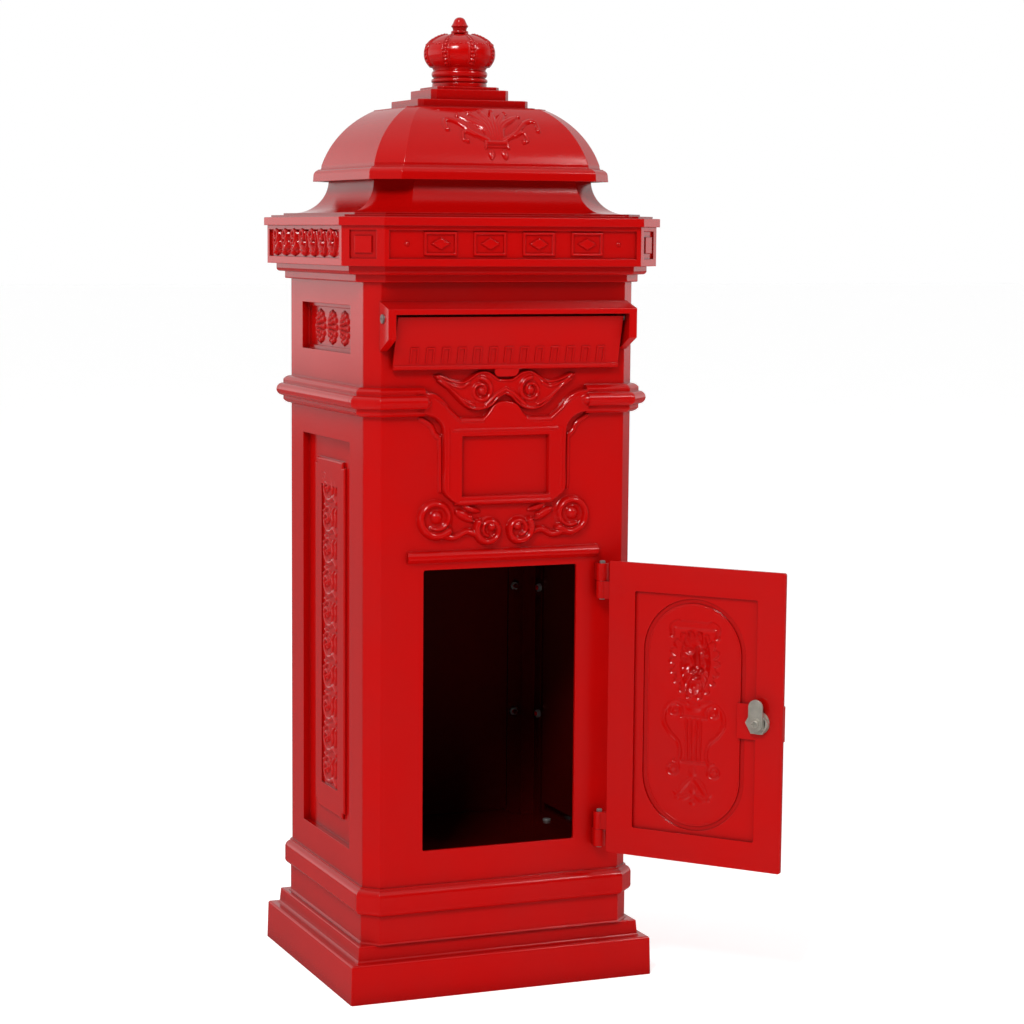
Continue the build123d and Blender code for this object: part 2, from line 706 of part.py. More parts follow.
# ---------------------------------------------------------------- finial and its tie rod
def finial():
    core_x, core_y = crown_neck_r + plinth_core_x, crown_neck_r + plinth_core_y
    foot_x, foot_y = dome_width / 2 - plinth_inset, dome_depth / 2 - plinth_inset
    plinth = straight(2 * foot_x, 2 * foot_y, plinth_chamfer, dome_top, dome_top + plinth_foot_height)
    z = dome_top
    for share_x, share_y, height in zip(plinth_shares_x, plinth_shares_y, plinth_heights):
        outline = [(0, z), (0, z + height - 1), (-0.3, z + height - 0.3, -1, z + height)]
        tier_x = core_x + share_x * (foot_x - core_x)
        tier_y = core_y + share_y * (foot_y - core_y)
        plinth += moulding(2 * tier_x, 2 * tier_y, plinth_chamfer, outline)
        z += height
    nodes["finial_plinth"] = plinth - rod(rod_r + 0.5, (0, 0, dome_top - 1), plinth_top - dome_top + 2)

    r, n = crown_r, crown_neck_r
    z = plinth_top
    side = [
        ((n + 0.8, z), None),
        ((n + 0.8, z + 4), None),
        ((n - 0.8, z + 4.6), None),
        ((n + 1.2, z + 8.6), (n + 1.6, z + 6.4)),
        ((n - 1.2, z + 10.0), None),
        ((n + 1.0, z + 16.0), (n + 1.4, z + 13.6)),
        ((n - 0.6, z + 18.0), None),
        ((n + 0.6, z + 20.5), None),
        ((r, z + 35.5), (r - 2.0, z + 27.0)),
        ((r - 8.5, z + 50.0), (r - 2.0, z + 43.8)),
        ((11.0, z + crown_height), (r - 17.5, z + 54.3)),
        ((0, z + crown_height), None),
    ]
    edges = [Line((0, z), side[0][0])]
    for (here, _), (there, through) in zip(side, side[1:]):
        edges.append(ThreePointArc(here, through, there) if through else Line(here, there))
    edges.append(Line(side[-1][0], (0, z)))
    crown = revolve(Plane.XZ * make_face(edges), Axis.Z)
    crown -= rod(n - 5, (0, 0, z - 1), 17) - rod(rod_r + 5, (0, 0, z - 1), 17)
    crown -= rod(rod_r, (0, 0, z - 1), crown_height - 14)
    nodes["crown"] = crown - rod(4, (0, 0, crown_top - 8), 10)

    b, z = bud_r, crown_top
    side = [
        ((b - 2.6, z + 0.6), None),
        ((b, z + 2.2), (b - 0.3, z + 1.0)),
        ((b - 2.2, z + 3.6), (b - 0.3, z + 3.3)),
        ((b - 1.4, z + 7.4), None),
        ((b - 1.0, z + 9.8), (b - 0.2, z + 8.6)),
        ((b - 2.8, z + 13.4), None),
        ((1.0, z + bud_height), (b - 5.0, z + 16.8)),
        ((0, z + bud_height), None),
    ]
    edges = [Line((0, z - 6), (3.9, z - 6)), Line((3.9, z - 6), (3.9, z)), Line((3.9, z), (b - 2.6, z))]
    edges.append(Line((b - 2.6, z), side[0][0]))
    for (here, _), (there, through) in zip(side, side[1:]):
        edges.append(ThreePointArc(here, through, there) if through else Line(here, there))
    edges.append(Line(side[-1][0], (0, z - 6)))
    nodes["crown_bud"] = revolve(Plane.XZ * make_face(edges), Axis.Z)

    bridge_top = seat_z - 4
    bridge_half = neck_width / 2 - 8.0
    bridge = block(-bridge_half, bridge_half, -15, 15, bridge_top - 6, bridge_top)
    nodes["tie_bridge"] = bridge - rod(rod_r + 0.5, (0, 0, bridge_top - 8), 10)
    rod_low = bridge_top - 28
    nodes["tie_rod"] = rod(rod_r, (0, 0, rod_low), plinth_top + 34 - rod_low)
    washer_low = bridge_top - 8.5
    nodes["tie_washer"] = rod(11, (0, 0, washer_low), 2.5) - rod(rod_r + 0.3, (0, 0, washer_low - 1), 5)
    nodes["tie_nut"] = hex_nut(17, rod_r, 8, (0, 0, washer_low - 8))


# ---------------------------------------------------------------- slot hood, flap, chute
def slot_hood():
    half = hood_width / 2
    back_low = hood_z - ear_back
    side = Polyline(
        (front_face, hood_z),
        (hood_front, hood_front_z),
        (hood_front, hood_front_z - ear_front + hood_fall),
        (front_face, back_low),
        close=True,
    )
    body = extrude(Plane.YZ * make_face(side), half, both=True)
    body = fillet(body.edges().filter_by(Axis.X).group_by(Axis.Y)[0], 1.0)
    lip_z = hood_front_z - hood_lip
    under = Polyline(
        (front_face + 1, hood_z - hood_wall),
        (hood_front + hood_wall, hood_front_z - hood_wall + hood_fall * hood_wall / hood_reach),
        (hood_front + hood_wall, lip_z),
        (hood_front - 5, lip_z),
        (hood_front - 5, back_low - 5),
        (front_face + 1, back_low - 5),
        close=True,
    )
    hood = body - extrude(Plane.YZ * make_face(under), ear_inner, both=True)
    pivots, screws = [], []
    for sign in (-1, 1):
        outer = sign * half
        shank = sorted((outer, sign * (flap_half - 7.0)))
        hood -= rod(pin_r, (min(outer, sign * ear_inner) - 1, pivot_y, pivot_z), hood_ear + 2, "x")
        pivot = rod(pin_r, (shank[0], pivot_y, pivot_z), shank[1] - shank[0], "x")
        head = rod(4.6, (outer if sign > 0 else outer - 1.8, pivot_y, pivot_z), 1.8, "x")
        head -= block(outer - 3, outer + 3, pivot_y - 4, pivot_y + 4, pivot_z - 0.6, pivot_z + 0.6) & rod(
            9, (outer + sign * 1.8 - 0.8, pivot_y, pivot_z), 1.6, "x"
        )
        pivots.append(pivot + head)
    # three tabs under the shelf, screwed from inside the box
    slot_top = slot_z + slot_height / 2
    tab_low = slot_top + 3.0
    tab_mid = (tab_low + hood_z - hood_wall) / 2
    end_tab = slot_width / 2 - hood_tab_from_end
    for x in (-end_tab, 0, end_tab):
        hood += block(
            x - hood_tab_half, x + hood_tab_half, front_face - hood_tab, front_face, tab_low, hood_z - hood_wall
        )
        hole = rod(hood_screw_r, (x, front_face - hood_tab, tab_mid), hood_tab + wall, "y")
        hood -= hole
        nodes["front_panel"] -= hole
        screws.append(hole + rod(hood_screw_head_r, (x, inner_front, tab_mid), 2.5, "y"))
    nodes["slot_hood"] = hood
    nodes["flap_pivots"] = joined(pivots)
    nodes["hood_screws"] = joined(screws)


def letter_flap():
    """Drawn hanging straight down from its pivot, then tilted so that its foot leans in."""
    front = -flap_front
    plate = block(-flap_half, flap_half, front, front + flap_thickness, -flap_length + 4, 4)
    lip = block(-flap_half, flap_half, front - 1.8, front + flap_thickness, -flap_length + 4, -flap_length + 9)
    lip = chamfer(lip.edges().filter_by(Axis.X).group_by(Axis.Y)[0], 1.2)
    plate = plate + lip
    tab_z = -flap_length + 4
    tab = block(-tab_width / 2, tab_width / 2, front - 1.0, front + flap_thickness, tab_z - 8, tab_z + 4)
    tab = fillet(tab.edges().filter_by(Axis.Y).group_by(Axis.Z)[0], 6)
    plate += tab
    pitch = 2 * (flap_half - flap_end_margin) / flap_flutes
    low, high = tab_z + flute_low, tab_z + flute_high
    proud, sunk = front - flute_proud, front + 0.5
    for i in range(flap_flutes):
        x = (i - (flap_flutes - 1) / 2) * pitch
        left, right = x - flute_half, x + flute_half
        plate += block(left, left + flute_line, proud, sunk, low, high)
        plate += block(right - flute_line, right, proud, sunk, low, high)
        plate += block(left, right, proud, sunk, high - flute_line, high)
    for sign in (-1, 1):
        lug = rod(5.5, (sign * flap_half - (6 if sign > 0 else 0), 0, 0), 6, "x")
        lug += block(*sorted((sign * flap_half, sign * (flap_half - 6))), front + 1, 0, -5.4, 3.9)
        plate += lug
        plate -= rod(pin_r + pin_play, (sign * flap_half - (8 if sign > 0 else 1), 0, 0), 9, "x")
    nodes["letter_flap"] = Pos(0, pivot_y, pivot_z) * Rot(flap_tilt, 0, 0) * plate


def letter_chute():
    """Bent plate inside, which leads letters back and down from the slot."""
    low = slot_z - slot_height / 2
    half = slot_width / 2 - 18.0
    run = 60.0
    y = inner_front
    section = Polyline(
        (y, low - 26),
        (y, low - 4),
        (y + run, low - 4 - run * 0.7),
        (y + run, low - 7 - run * 0.7),
        (y + 2, low - 8.2),
        (y + 2, low - 26),
        close=True,
    )
    chute = extrude(Plane.YZ * make_face(section), half, both=True)
    nuts = []
    for x in (-half * 0.8, 0, half * 0.8):
        z = low - 18
        nodes["front_panel"] += rod(stud_r, (x, inner_front, z), stud_length, "y")
        chute -= rod(stud_r + stud_play, (x, inner_front - 1, z), 5, "y")
        nuts.append(hex_nut(nut_across, stud_r, nut_thick, (x, inner_front + 2, z), "y"))
    nodes["letter_chute"] = chute
    nodes["chute_nuts"] = joined(nuts)


# ---------------------------------------------------------------- floor
def floor():
    inner_x, inner_y = half_x - wall - floor_play, half_y - wall - floor_play
    plate = block(-inner_x, inner_x, -inner_y, inner_y, floor_z - floor_thickness, floor_z)
    notch = angle_leg + 2 * floor_play
    for x, y in corners(1, 1):
        plate -= block(
            *sorted((x * (inner_x - notch), x * FAR)), *sorted((y * (inner_y - notch), y * FAR)), 0, FAR
        )
    cleats, screws = [], []
    under = floor_z - floor_thickness
    for sign in (-1, 1):
        side = sign * (half_x - wall)
        xs = sorted((side, side - sign * cleat_size))
        cleat = block(*xs, -cleat_length / 2, cleat_length / 2, under - 3, under)
        upright = sorted((side, side - sign * 3))
        cleat += block(*upright, -cleat_length / 2, cleat_length / 2, under - cleat_size, under)
        for y in (-cleat_length * 0.35, cleat_length * 0.35):
            x = side - sign * (cleat_size - 7)
            hole = rod(2.5, (x, y, under - 9), 14)
            cleat -= hole
            plate -= hole
            screws.append(rod(2.5, (x, y, under - 8), floor_thickness + 8) + rod(4.5, (x, y, floor_z), 2.2))
        cleats.append(cleat)
    nodes["floor_plate"] = plate
    nodes["floor_cleats"] = joined(cleats)
    nodes["floor_screws"] = joined(screws)


# ---------------------------------------------------------------- door, hinges, lock
def oval(width, height, y0, y1):
    """Upright oval with straight sides and round ends, from y0 to y1."""
    shape = SlotOverall(height, width, rotation=90)
    return Pos(door_mid_x + ornament_shift, y1, lock_z) * extrude(Plane.XZ * shape, y1 - y0)


def rounded_boss(x, z, inset, y0, y1):
    """Soft-edged upright block, closed towards -Y, or the smaller hollow inside it."""
    half_w, half_h = boss_width / 2 - inset, boss_height / 2 - inset
    shape = block(x - half_w, x + half_w, y0, y1, z - half_h, z + half_h)
    shape = fillet(shape.edges().filter_by(Axis.Y), half_w * 0.7)
    return fillet(shape.edges().group_by(Axis.Y)[0], (y1 - y0) * 0.4)


def door():
    leaf = block(door_left, door_right, door_outer_y, door_inner_y, door_bottom, door_top)
    leaf = fillet(leaf.edges().filter_by(Axis.Y), door_corner_r)
    x0, x1 = door_left + panel_margin, door_right - panel_margin
    z0, z1 = door_bottom + panel_margin, door_top - panel_margin
    raised = block(x0 - 1, x1 + 1, door_outer_y - panel_step, door_outer_y, z0 - 1, z1 + 1)
    leaf += chamfer(raised.edges().group_by(Axis.Y)[0], 1.5)
    sunk = block(x0 + 3, x1 - 3, door_inner_y - panel_step, door_inner_y + 1, z0 + 3, z1 - 3)
    leaf -= fillet(sunk.edges().filter_by(Axis.Y), 2.0)
    face = door_outer_y - panel_step
    band = oval(oval_width, oval_height, face - 2.2, face) - oval(
        oval_width - 2 * oval_band, oval_height - 2 * oval_band, face - 3, face + 1
    )
    leaf += chamfer(band.edges().group_by(Axis.Y)[0], 0.8)
    groove_y = door_inner_y - panel_step
    groove = oval(oval_width - 1, oval_height - 1, groove_y - 1.6, groove_y + 0.5) - oval(
        oval_width - 2 * oval_band + 1, oval_height - 2 * oval_band + 1, groove_y - 3, groove_y + 1
    )
    leaf -= groove
    inner_oval = 2 * oval_band + 2
    leaf -= oval(oval_width - inner_oval, oval_height - inner_oval, groove_y - oval_pocket, groove_y + 1)
    # hollow boss behind the cast mask
    boss_x, boss_z = door_mid_x + ornament_shift, lock_z + boss_above_lock
    leaf += rounded_boss(boss_x, boss_z, 0, face - boss_out, face + 1)
    leaf -= rounded_boss(boss_x, boss_z, boss_wall, face - boss_out + boss_wall, groove_y + 1)
    # flat pad for the lock, full thickness from the outer panel to the inner face
    pad = block(
        door_left, lock_x + 24, door_outer_y - panel_step, door_inner_y, lock_z - lock_pad_height / 2,
        lock_z + lock_pad_height / 2,
    )
    leaf += pad
    lock_face = door_outer_y - panel_step
    bore = rod(lock_r + 0.1, (lock_x, lock_face - 5, lock_z), 30, "y")
    bore &= block(lock_x - lock_flat - 0.1, lock_x + lock_flat + 0.1, -FAR, 0, 0, FAR * 2)
    leaf -= bore

    knuckles, rivets = [], []
    for z in door_knuckle_z():
        knuckle = rod(knuckle_r, (hinge_x, hinge_y, z), knuckle_length)
        lap = block(door_right - 22, hinge_x, door_outer_y - 3, door_outer_y, z, z + knuckle_length)
        knuckle += lap
        knuckle -= rod(pin_r + pin_play, (hinge_x, hinge_y, z - 1), knuckle_length + 2)
        for shift in (-5.0, 5.0):
            where = (door_right - 13, door_outer_y - 3 - 1.4, z + knuckle_length / 2 + shift)
            hole = rod(1.6, (where[0], where[1] - 1, where[2]), 12, "y")
            knuckle -= hole
            leaf -= hole
            rivet = rod(1.6, where, 1.4 + 3 + door_thickness, "y") + rod(3.0, where, 1.4, "y")
            rivets.append(rivet)
        knuckles.append(knuckle)
    nodes["door_panel"] = closed_to_open(leaf)
    nodes["door_knuckles"] = closed_to_open(joined(knuckles))
    nodes["hinge_rivets"] = closed_to_open(joined(rivets))


def door_knuckle_z():
    """Low ends of the two door knuckles: the upper hangs below its partner, the lower sits on it."""
    upper = door_top - hinge_inset - 2 * knuckle_length - knuckle_gap
    lower = door_bottom + hinge_inset + knuckle_length + knuckle_gap
    return upper, lower


def body_hinges():
    upper, lower = door_knuckle_z()
    brackets, pins = [], []
    for z, pin_low in (
        (upper + knuckle_length + knuckle_gap, upper - 1.5),
        (lower - knuckle_length - knuckle_gap, lower - knuckle_length - knuckle_gap - 1.5),
    ):
        bracket = rod(knuckle_r, (hinge_x, hinge_y, z), knuckle_length)
        bracket += block(hinge_x - 5, hinge_x + knuckle_r, hinge_y, front_face, z, z + knuckle_length)
        brackets.append(bracket - rod(pin_r, (hinge_x, hinge_y, z - 1), knuckle_length + 2))
        length = 2 * knuckle_length + knuckle_gap + 4.0
        pin = rod(pin_r, (hinge_x, hinge_y, pin_low), length)
        pins.append(chamfer(pin.edges().group_by(Axis.Z)[-1], 0.6))
    nodes["hinge_brackets"] = joined(brackets)
    nodes["hinge_pins"] = joined(pins)


def lock():
    """Cam lock through the pad, drawn with the door closed; +Y is into the box."""
    face = door_outer_y - panel_step
    back = door_inner_y
    x, z = lock_x, lock_z
    end = back + washer_height + nut_height + 1.5
    barrel = rod(lock_r, (x, face, z), end - face, "y")
    barrel &= block(x - lock_flat, x + lock_flat, face - 1, end + 1, 0, FAR * 2)
    bezel = rod(lock_r + bezel_rim, (x, face - 3, z), 3, "y")
    bezel = chamfer(bezel.edges().group_by(Axis.Y)[0], 1.2)
    barrel = barrel + bezel - rod(plug_r + pin_play, (x, face - 4, z), end - face + 8, "y")
    nodes["lock_body"] = closed_to_open(barrel)
    washer = rod(lock_r + washer_rim, (x, back, z), washer_height, "y")
    washer -= rod(lock_r + 0.2, (x, back - 1, z), 4, "y")
    nodes["lock_washer"] = closed_to_open(washer)
    nut = hex_nut(2 * (lock_r + nut_wall), lock_r, nut_height, (x, back + washer_height, z), "y")
    nodes["lock_nut"] = closed_to_open(nut)

    plug = rod(plug_r, (x, face - 3, z), end + 0.3 - face + 3, "y")
    cam_y = end + 0.3
    square = block(x - 3, x + 3, cam_y, cam_y + cam_thickness, z - 3, z + 3)
    plug += square
    keyway = block(x - 0.8, x + 0.8, face - 4, face + 9, z - 4, z + 4)
    nodes["lock_plug"] = closed_to_open(plug - keyway - rod(2, (x, cam_y - 6, z), 12, "y"))
    tip = z + cam_length - cam_width / 2
    shape = block(x - cam_width / 2, x + cam_width / 2, cam_y, cam_y + cam_thickness, z, tip)
    shape += rod(cam_width / 2, (x, cam_y, z), cam_thickness, "y")
    shape += rod(cam_width / 2, (x, cam_y, tip), cam_thickness, "y")
    nodes["lock_cam"] = closed_to_open(shape - square)
    screw_y = cam_y + cam_thickness
    star = rod(6.2, (x, screw_y, z), 0.8, "y") - rod(2, (x, screw_y - 1, z), 4, "y")
    nodes["cam_washer"] = closed_to_open(star)
    head = rod(4.2, (x, screw_y + 0.8, z), 2.4, "y")
    head = fillet(head.edges().group_by(Axis.Y)[-1], 1.2)
    head -= block(x - 3, x + 3, screw_y + 2.0, screw_y + 9, z - 0.5, z + 0.5)
    head -= block(x - 0.5, x + 0.5, screw_y + 2.0, screw_y + 9, z - 3, z + 3)
    nodes["cam_screw"] = closed_to_open(head + rod(2, (x, cam_y - 6, z), 6 + cam_thickness + 0.8, "y"))


# ---------------------------------------------------------------- build and write
make_foot()
stud_x, stud_y = shaft_panels()
bolt_x, bolt_y = corner_frame(stud_x, stud_y)
roof(bolt_x, bolt_y)
finial()
slot_hood()
letter_flap()
letter_chute()
floor()
door()
body_hinges()
lock()

os.makedirs("parts", exist_ok=True)
for name, shape in nodes.items():
    shape.label = name
    export_step(shape, f"parts/{name}.step")
print(len(nodes), "nodes, top at", round(crown_top + bud_height, 1))
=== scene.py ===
import json
from math import cos, pi, radians, sin

import bpy
import numpy as np
from mathutils import Matrix, Vector
from mathutils.bvhtree import BVHTree


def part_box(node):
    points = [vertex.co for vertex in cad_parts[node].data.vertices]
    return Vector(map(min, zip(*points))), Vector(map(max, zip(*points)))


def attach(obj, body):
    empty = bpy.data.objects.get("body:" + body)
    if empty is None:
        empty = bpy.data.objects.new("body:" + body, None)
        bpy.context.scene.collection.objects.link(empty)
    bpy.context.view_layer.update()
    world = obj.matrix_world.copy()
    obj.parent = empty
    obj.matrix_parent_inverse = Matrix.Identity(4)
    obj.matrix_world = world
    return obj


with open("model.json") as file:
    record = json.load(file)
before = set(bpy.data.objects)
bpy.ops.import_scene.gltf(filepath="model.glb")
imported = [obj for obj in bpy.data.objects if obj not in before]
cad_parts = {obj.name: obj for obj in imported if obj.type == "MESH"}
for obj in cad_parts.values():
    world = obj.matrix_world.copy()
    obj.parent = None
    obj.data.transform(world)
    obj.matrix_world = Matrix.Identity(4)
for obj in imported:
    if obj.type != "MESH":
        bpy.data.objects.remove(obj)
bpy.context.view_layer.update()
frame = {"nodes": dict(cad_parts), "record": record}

MM = 0.001
WALL = 3.5
# reach of the ambient occlusion that paints shade into crevices, in metres
CREVICE_REACH = 0.03
PEEL_DEPTH = 0.00005
WORN_EDGE = 0.0004
FAR_OUT = -400.0

# places read from the frame, in millimetres like every drawing below
front_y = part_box("slot_hood")[1].y / MM
side_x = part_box("floor_cleats")[1].x / MM + WALL


# ---------------------------------------------------------------- materials
def node_tree(name):
    material = bpy.data.materials.new(name)
    material.use_nodes = True
    nodes = material.node_tree.nodes
    shader = nodes["Principled BSDF"]
    return material, nodes, material.node_tree.links, shader


def noise(nodes, links, coordinates, scale, detail=2.0, roughness=0.5):
    """A noise pattern in the object's own metres, so it rides with the piece."""
    node = nodes.new("ShaderNodeTexNoise")
    node.inputs["Scale"].default_value = scale
    node.inputs["Detail"].default_value = detail
    node.inputs["Roughness"].default_value = roughness
    links.new(coordinates, node.inputs["Vector"])
    return node.outputs["Fac"]


def ramp(nodes, links, value, low, high, at=(0.3, 0.7)):
    """Two numbers or colours, one at each end of a range of the value."""
    node = nodes.new("ShaderNodeMapRange")
    node.inputs["From Min"].default_value = at[0]
    node.inputs["From Max"].default_value = at[1]
    node.inputs["To Min"].default_value = low
    node.inputs["To Max"].default_value = high
    links.new(value, node.inputs["Value"])
    return node.outputs["Result"]


def mix(nodes, links, amount, first, second):
    node = nodes.new("ShaderNodeMix")
    node.data_type = "RGBA"
    links.new(amount, node.inputs["Factor"])
    for socket, colour in (("A", first), ("B", second)):
        place = [s for s in node.inputs if s.name == socket and s.type == "RGBA"][0]
        if isinstance(colour, tuple):
            place.default_value = (*colour, 1)
        else:
            links.new(colour, place)
    return [s for s in node.outputs if s.type == "RGBA"][0]


def edge_mask(nodes, links, radius):
    """Near 1 on sharp edges and 0 on flat faces, with the rounded normal beside it."""
    bevel = nodes.new("ShaderNodeBevel")
    bevel.samples = 6
    bevel.inputs["Radius"].default_value = radius
    geometry = nodes.new("ShaderNodeNewGeometry")
    dot = nodes.new("ShaderNodeVectorMath")
    dot.operation = "DOT_PRODUCT"
    links.new(bevel.outputs["Normal"], dot.inputs[0])
    links.new(geometry.outputs["Normal"], dot.inputs[1])
    return ramp(nodes, links, dot.outputs["Value"], 1.0, 0.0, (0.86, 0.99)), bevel.outputs["Normal"]


def bump(nodes, links, height, distance, strength=1.0, normal=None):
    node = nodes.new("ShaderNodeBump")
    node.inputs["Distance"].default_value = distance
    node.inputs["Strength"].default_value = strength
    links.new(height, node.inputs["Height"])
    if normal is not None:
        links.new(normal, node.inputs["Normal"])
    return node.outputs["Normal"]


def reckon(nodes, links, operation, first, second=None):
    """One arithmetic step; an operand is a socket or a number."""
    node = nodes.new("ShaderNodeMath")
    node.operation = operation
    for socket, value in zip(node.inputs, (first, second)):
        if isinstance(value, (int, float)):
            socket.default_value = value
        elif value is not None:
            links.new(value, socket)
    return node.outputs[0]


def inner_faces(nodes, links, where):
    """1 on faces of the shaft that look into the box and 0 on its outside: where the painted shade of the
    box's inside goes.
    """
    place = nodes.new("ShaderNodeSeparateXYZ")
    facing = nodes.new("ShaderNodeSeparateXYZ")
    links.new(where, place.inputs[0])
    links.new(nodes.new("ShaderNodeNewGeometry").outputs["Normal"], facing.inputs[0])
    found = []
    for axis, nearest, furthest in (("X", 0.13, side_x * MM - 0.003), ("Y", 0.10, -front_y * MM - 0.003)):
        away = reckon(nodes, links, "ABSOLUTE", place.outputs[axis])
        side = reckon(nodes, links, "SIGN", place.outputs[axis])
        turned = reckon(nodes, links, "MULTIPLY", facing.outputs[axis], side)
        inward = reckon(nodes, links, "LESS_THAN", turned, -0.5)
        near = reckon(nodes, links, "LESS_THAN", away, furthest)
        far = reckon(nodes, links, "GREATER_THAN", away, nearest)
        both = reckon(nodes, links, "MULTIPLY", near, far)
        found.append(reckon(nodes, links, "MULTIPLY", inward, both))
    return reckon(nodes, links, "MAXIMUM", *found)


def powder_coat(name, colour, deep, rounded=0.0009, inside=None):
    """Gloss powder coat on cast metal: faint orange peel, uneven gloss, paler edges, painted shade in
    crevices, and painted shade on faces inside the box when an inside colour is given.
    """
    material, nodes, links, shader = node_tree(name)
    where = nodes.new("ShaderNodeTexCoord").outputs["Object"]
    clouds = noise(nodes, links, where, 9, 3, 0.55)
    peel = noise(nodes, links, where, 520, 2, 0.45)
    specks = noise(nodes, links, where, 1900, 1, 0.5)
    edges, soft_normal = edge_mask(nodes, links, rounded)
    body = mix(nodes, links, ramp(nodes, links, clouds, 0.0, 1.0), colour, deep)
    light = tuple(min(1.0, c * 1.18 + 0.002) for c in colour)
    worn = mix(nodes, links, ramp(nodes, links, edges, 0.0, 0.5, (0, 1)), body, light)
    # painted shade: ambient occlusion darkens the colour towards 0.45 of it in crevices, recesses and under
    # overhangs
    crevice = nodes.new("ShaderNodeAmbientOcclusion")
    crevice.samples = 4
    crevice.inputs["Distance"].default_value = CREVICE_REACH
    painted_crevice_shade = tuple(c * 0.45 for c in colour)
    worn = mix(nodes, links, ramp(nodes, links, crevice.outputs["AO"], 1.0, 0.0, (0.25, 0.85)), worn, painted_crevice_shade)
    # painted shade: faces that look into the box take the near-black inside colour in place of the lit red
    if inside is not None:
        worn = mix(nodes, links, inner_faces(nodes, links, where), worn, inside)
    links.new(worn, shader.inputs["Base Color"])
    links.new(ramp(nodes, links, clouds, 0.12, 0.18), shader.inputs["Roughness"])
    grain = reckon(nodes, links, "ADD", peel, reckon(nodes, links, "MULTIPLY", specks, 0.18))
    links.new(bump(nodes, links, grain, PEEL_DEPTH, 1.0, soft_normal), shader.inputs["Normal"])
    shader.inputs["IOR"].default_value = 1.5
    shader.inputs["Specular IOR Level"].default_value = 0.5
    return material


def plated_metal(name, colour, dark, roughness, scale, distance):
    """Plated steel: cloudy tint, fine scratches, brighter worn edges."""
    material, nodes, links, shader = node_tree(name)
    where = nodes.new("ShaderNodeTexCoord").outputs["Object"]
    stretch = nodes.new("ShaderNodeMapping")
    stretch.inputs["Scale"].default_value = (1.0, 1.0, 9.0)
    links.new(where, stretch.inputs["Vector"])
    scratches = noise(nodes, links, stretch.outputs["Vector"], scale, 4, 0.7)
    clouds = noise(nodes, links, where, scale * 0.12, 2)
    edges, soft_normal = edge_mask(nodes, links, WORN_EDGE)
    tint = mix(nodes, links, ramp(nodes, links, clouds, 0.0, 1.0), colour, dark)
    bright = tuple(min(1.0, c * 1.2) for c in colour)
    worn = mix(nodes, links, ramp(nodes, links, edges, 0.0, 0.7, (0, 1)), tint, bright)
    links.new(worn, shader.inputs["Base Color"])
    links.new(ramp(nodes, links, scratches, roughness * 0.7, roughness * 1.4), shader.inputs["Roughness"])
    links.new(bump(nodes, links, scratches, distance, 0.6, soft_normal), shader.inputs["Normal"])
    shader.inputs["Metallic"].default_value = 0.6
    return material


RED = (0.50, 0.0016, 0.0013)
DEEP_RED = (0.46, 0.0014, 0.0011)
# painted shade: a near-black red for the shaft's inner faces and the parts inside the box, where shade falls
INTERIOR_SHADE_RED = (0.060, 0.0016, 0.0012)
red_paint = powder_coat("red_powder_coat", RED, DEEP_RED)
shaft_paint = powder_coat("red_powder_coat_shaft", RED, DEEP_RED, inside=INTERIOR_SHADE_RED)
interior_shade_paint = powder_coat("painted_interior_shade_red", INTERIOR_SHADE_RED, (0.045, 0.0014, 0.0010))
nickel = plated_metal("nickel_plate", (0.60, 0.56, 0.48), (0.46, 0.43, 0.37), 0.34, 900, 0.00002)
zinc_steel = plated_metal("zinc_plate", (0.36, 0.35, 0.34), (0.24, 0.23, 0.22), 0.36, 500, 0.00003)
FINISH = {"red_paint": red_paint, "nickel": nickel, "zinc_steel": zinc_steel}
SHAFT = ("front_panel", "back_panel", "left_panel", "right_panel")
INSIDE = ("corner_angles", "floor_plate", "floor_cleats", "letter_chute", "tie_bridge")


def paint_cad_nodes():
    for part in frame["record"]["subparts"]:
        piece = frame["nodes"][part["node"]]
        piece.data.materials.clear()
        finish = FINISH[part["material_slot"]]
        # the shaft's inner faces and the parts inside the box get painted shade
        if part["node"] in SHAFT:
            finish = shaft_paint
        elif part["node"] in INSIDE:
            finish = interior_shade_paint
        piece.data.materials.append(finish)


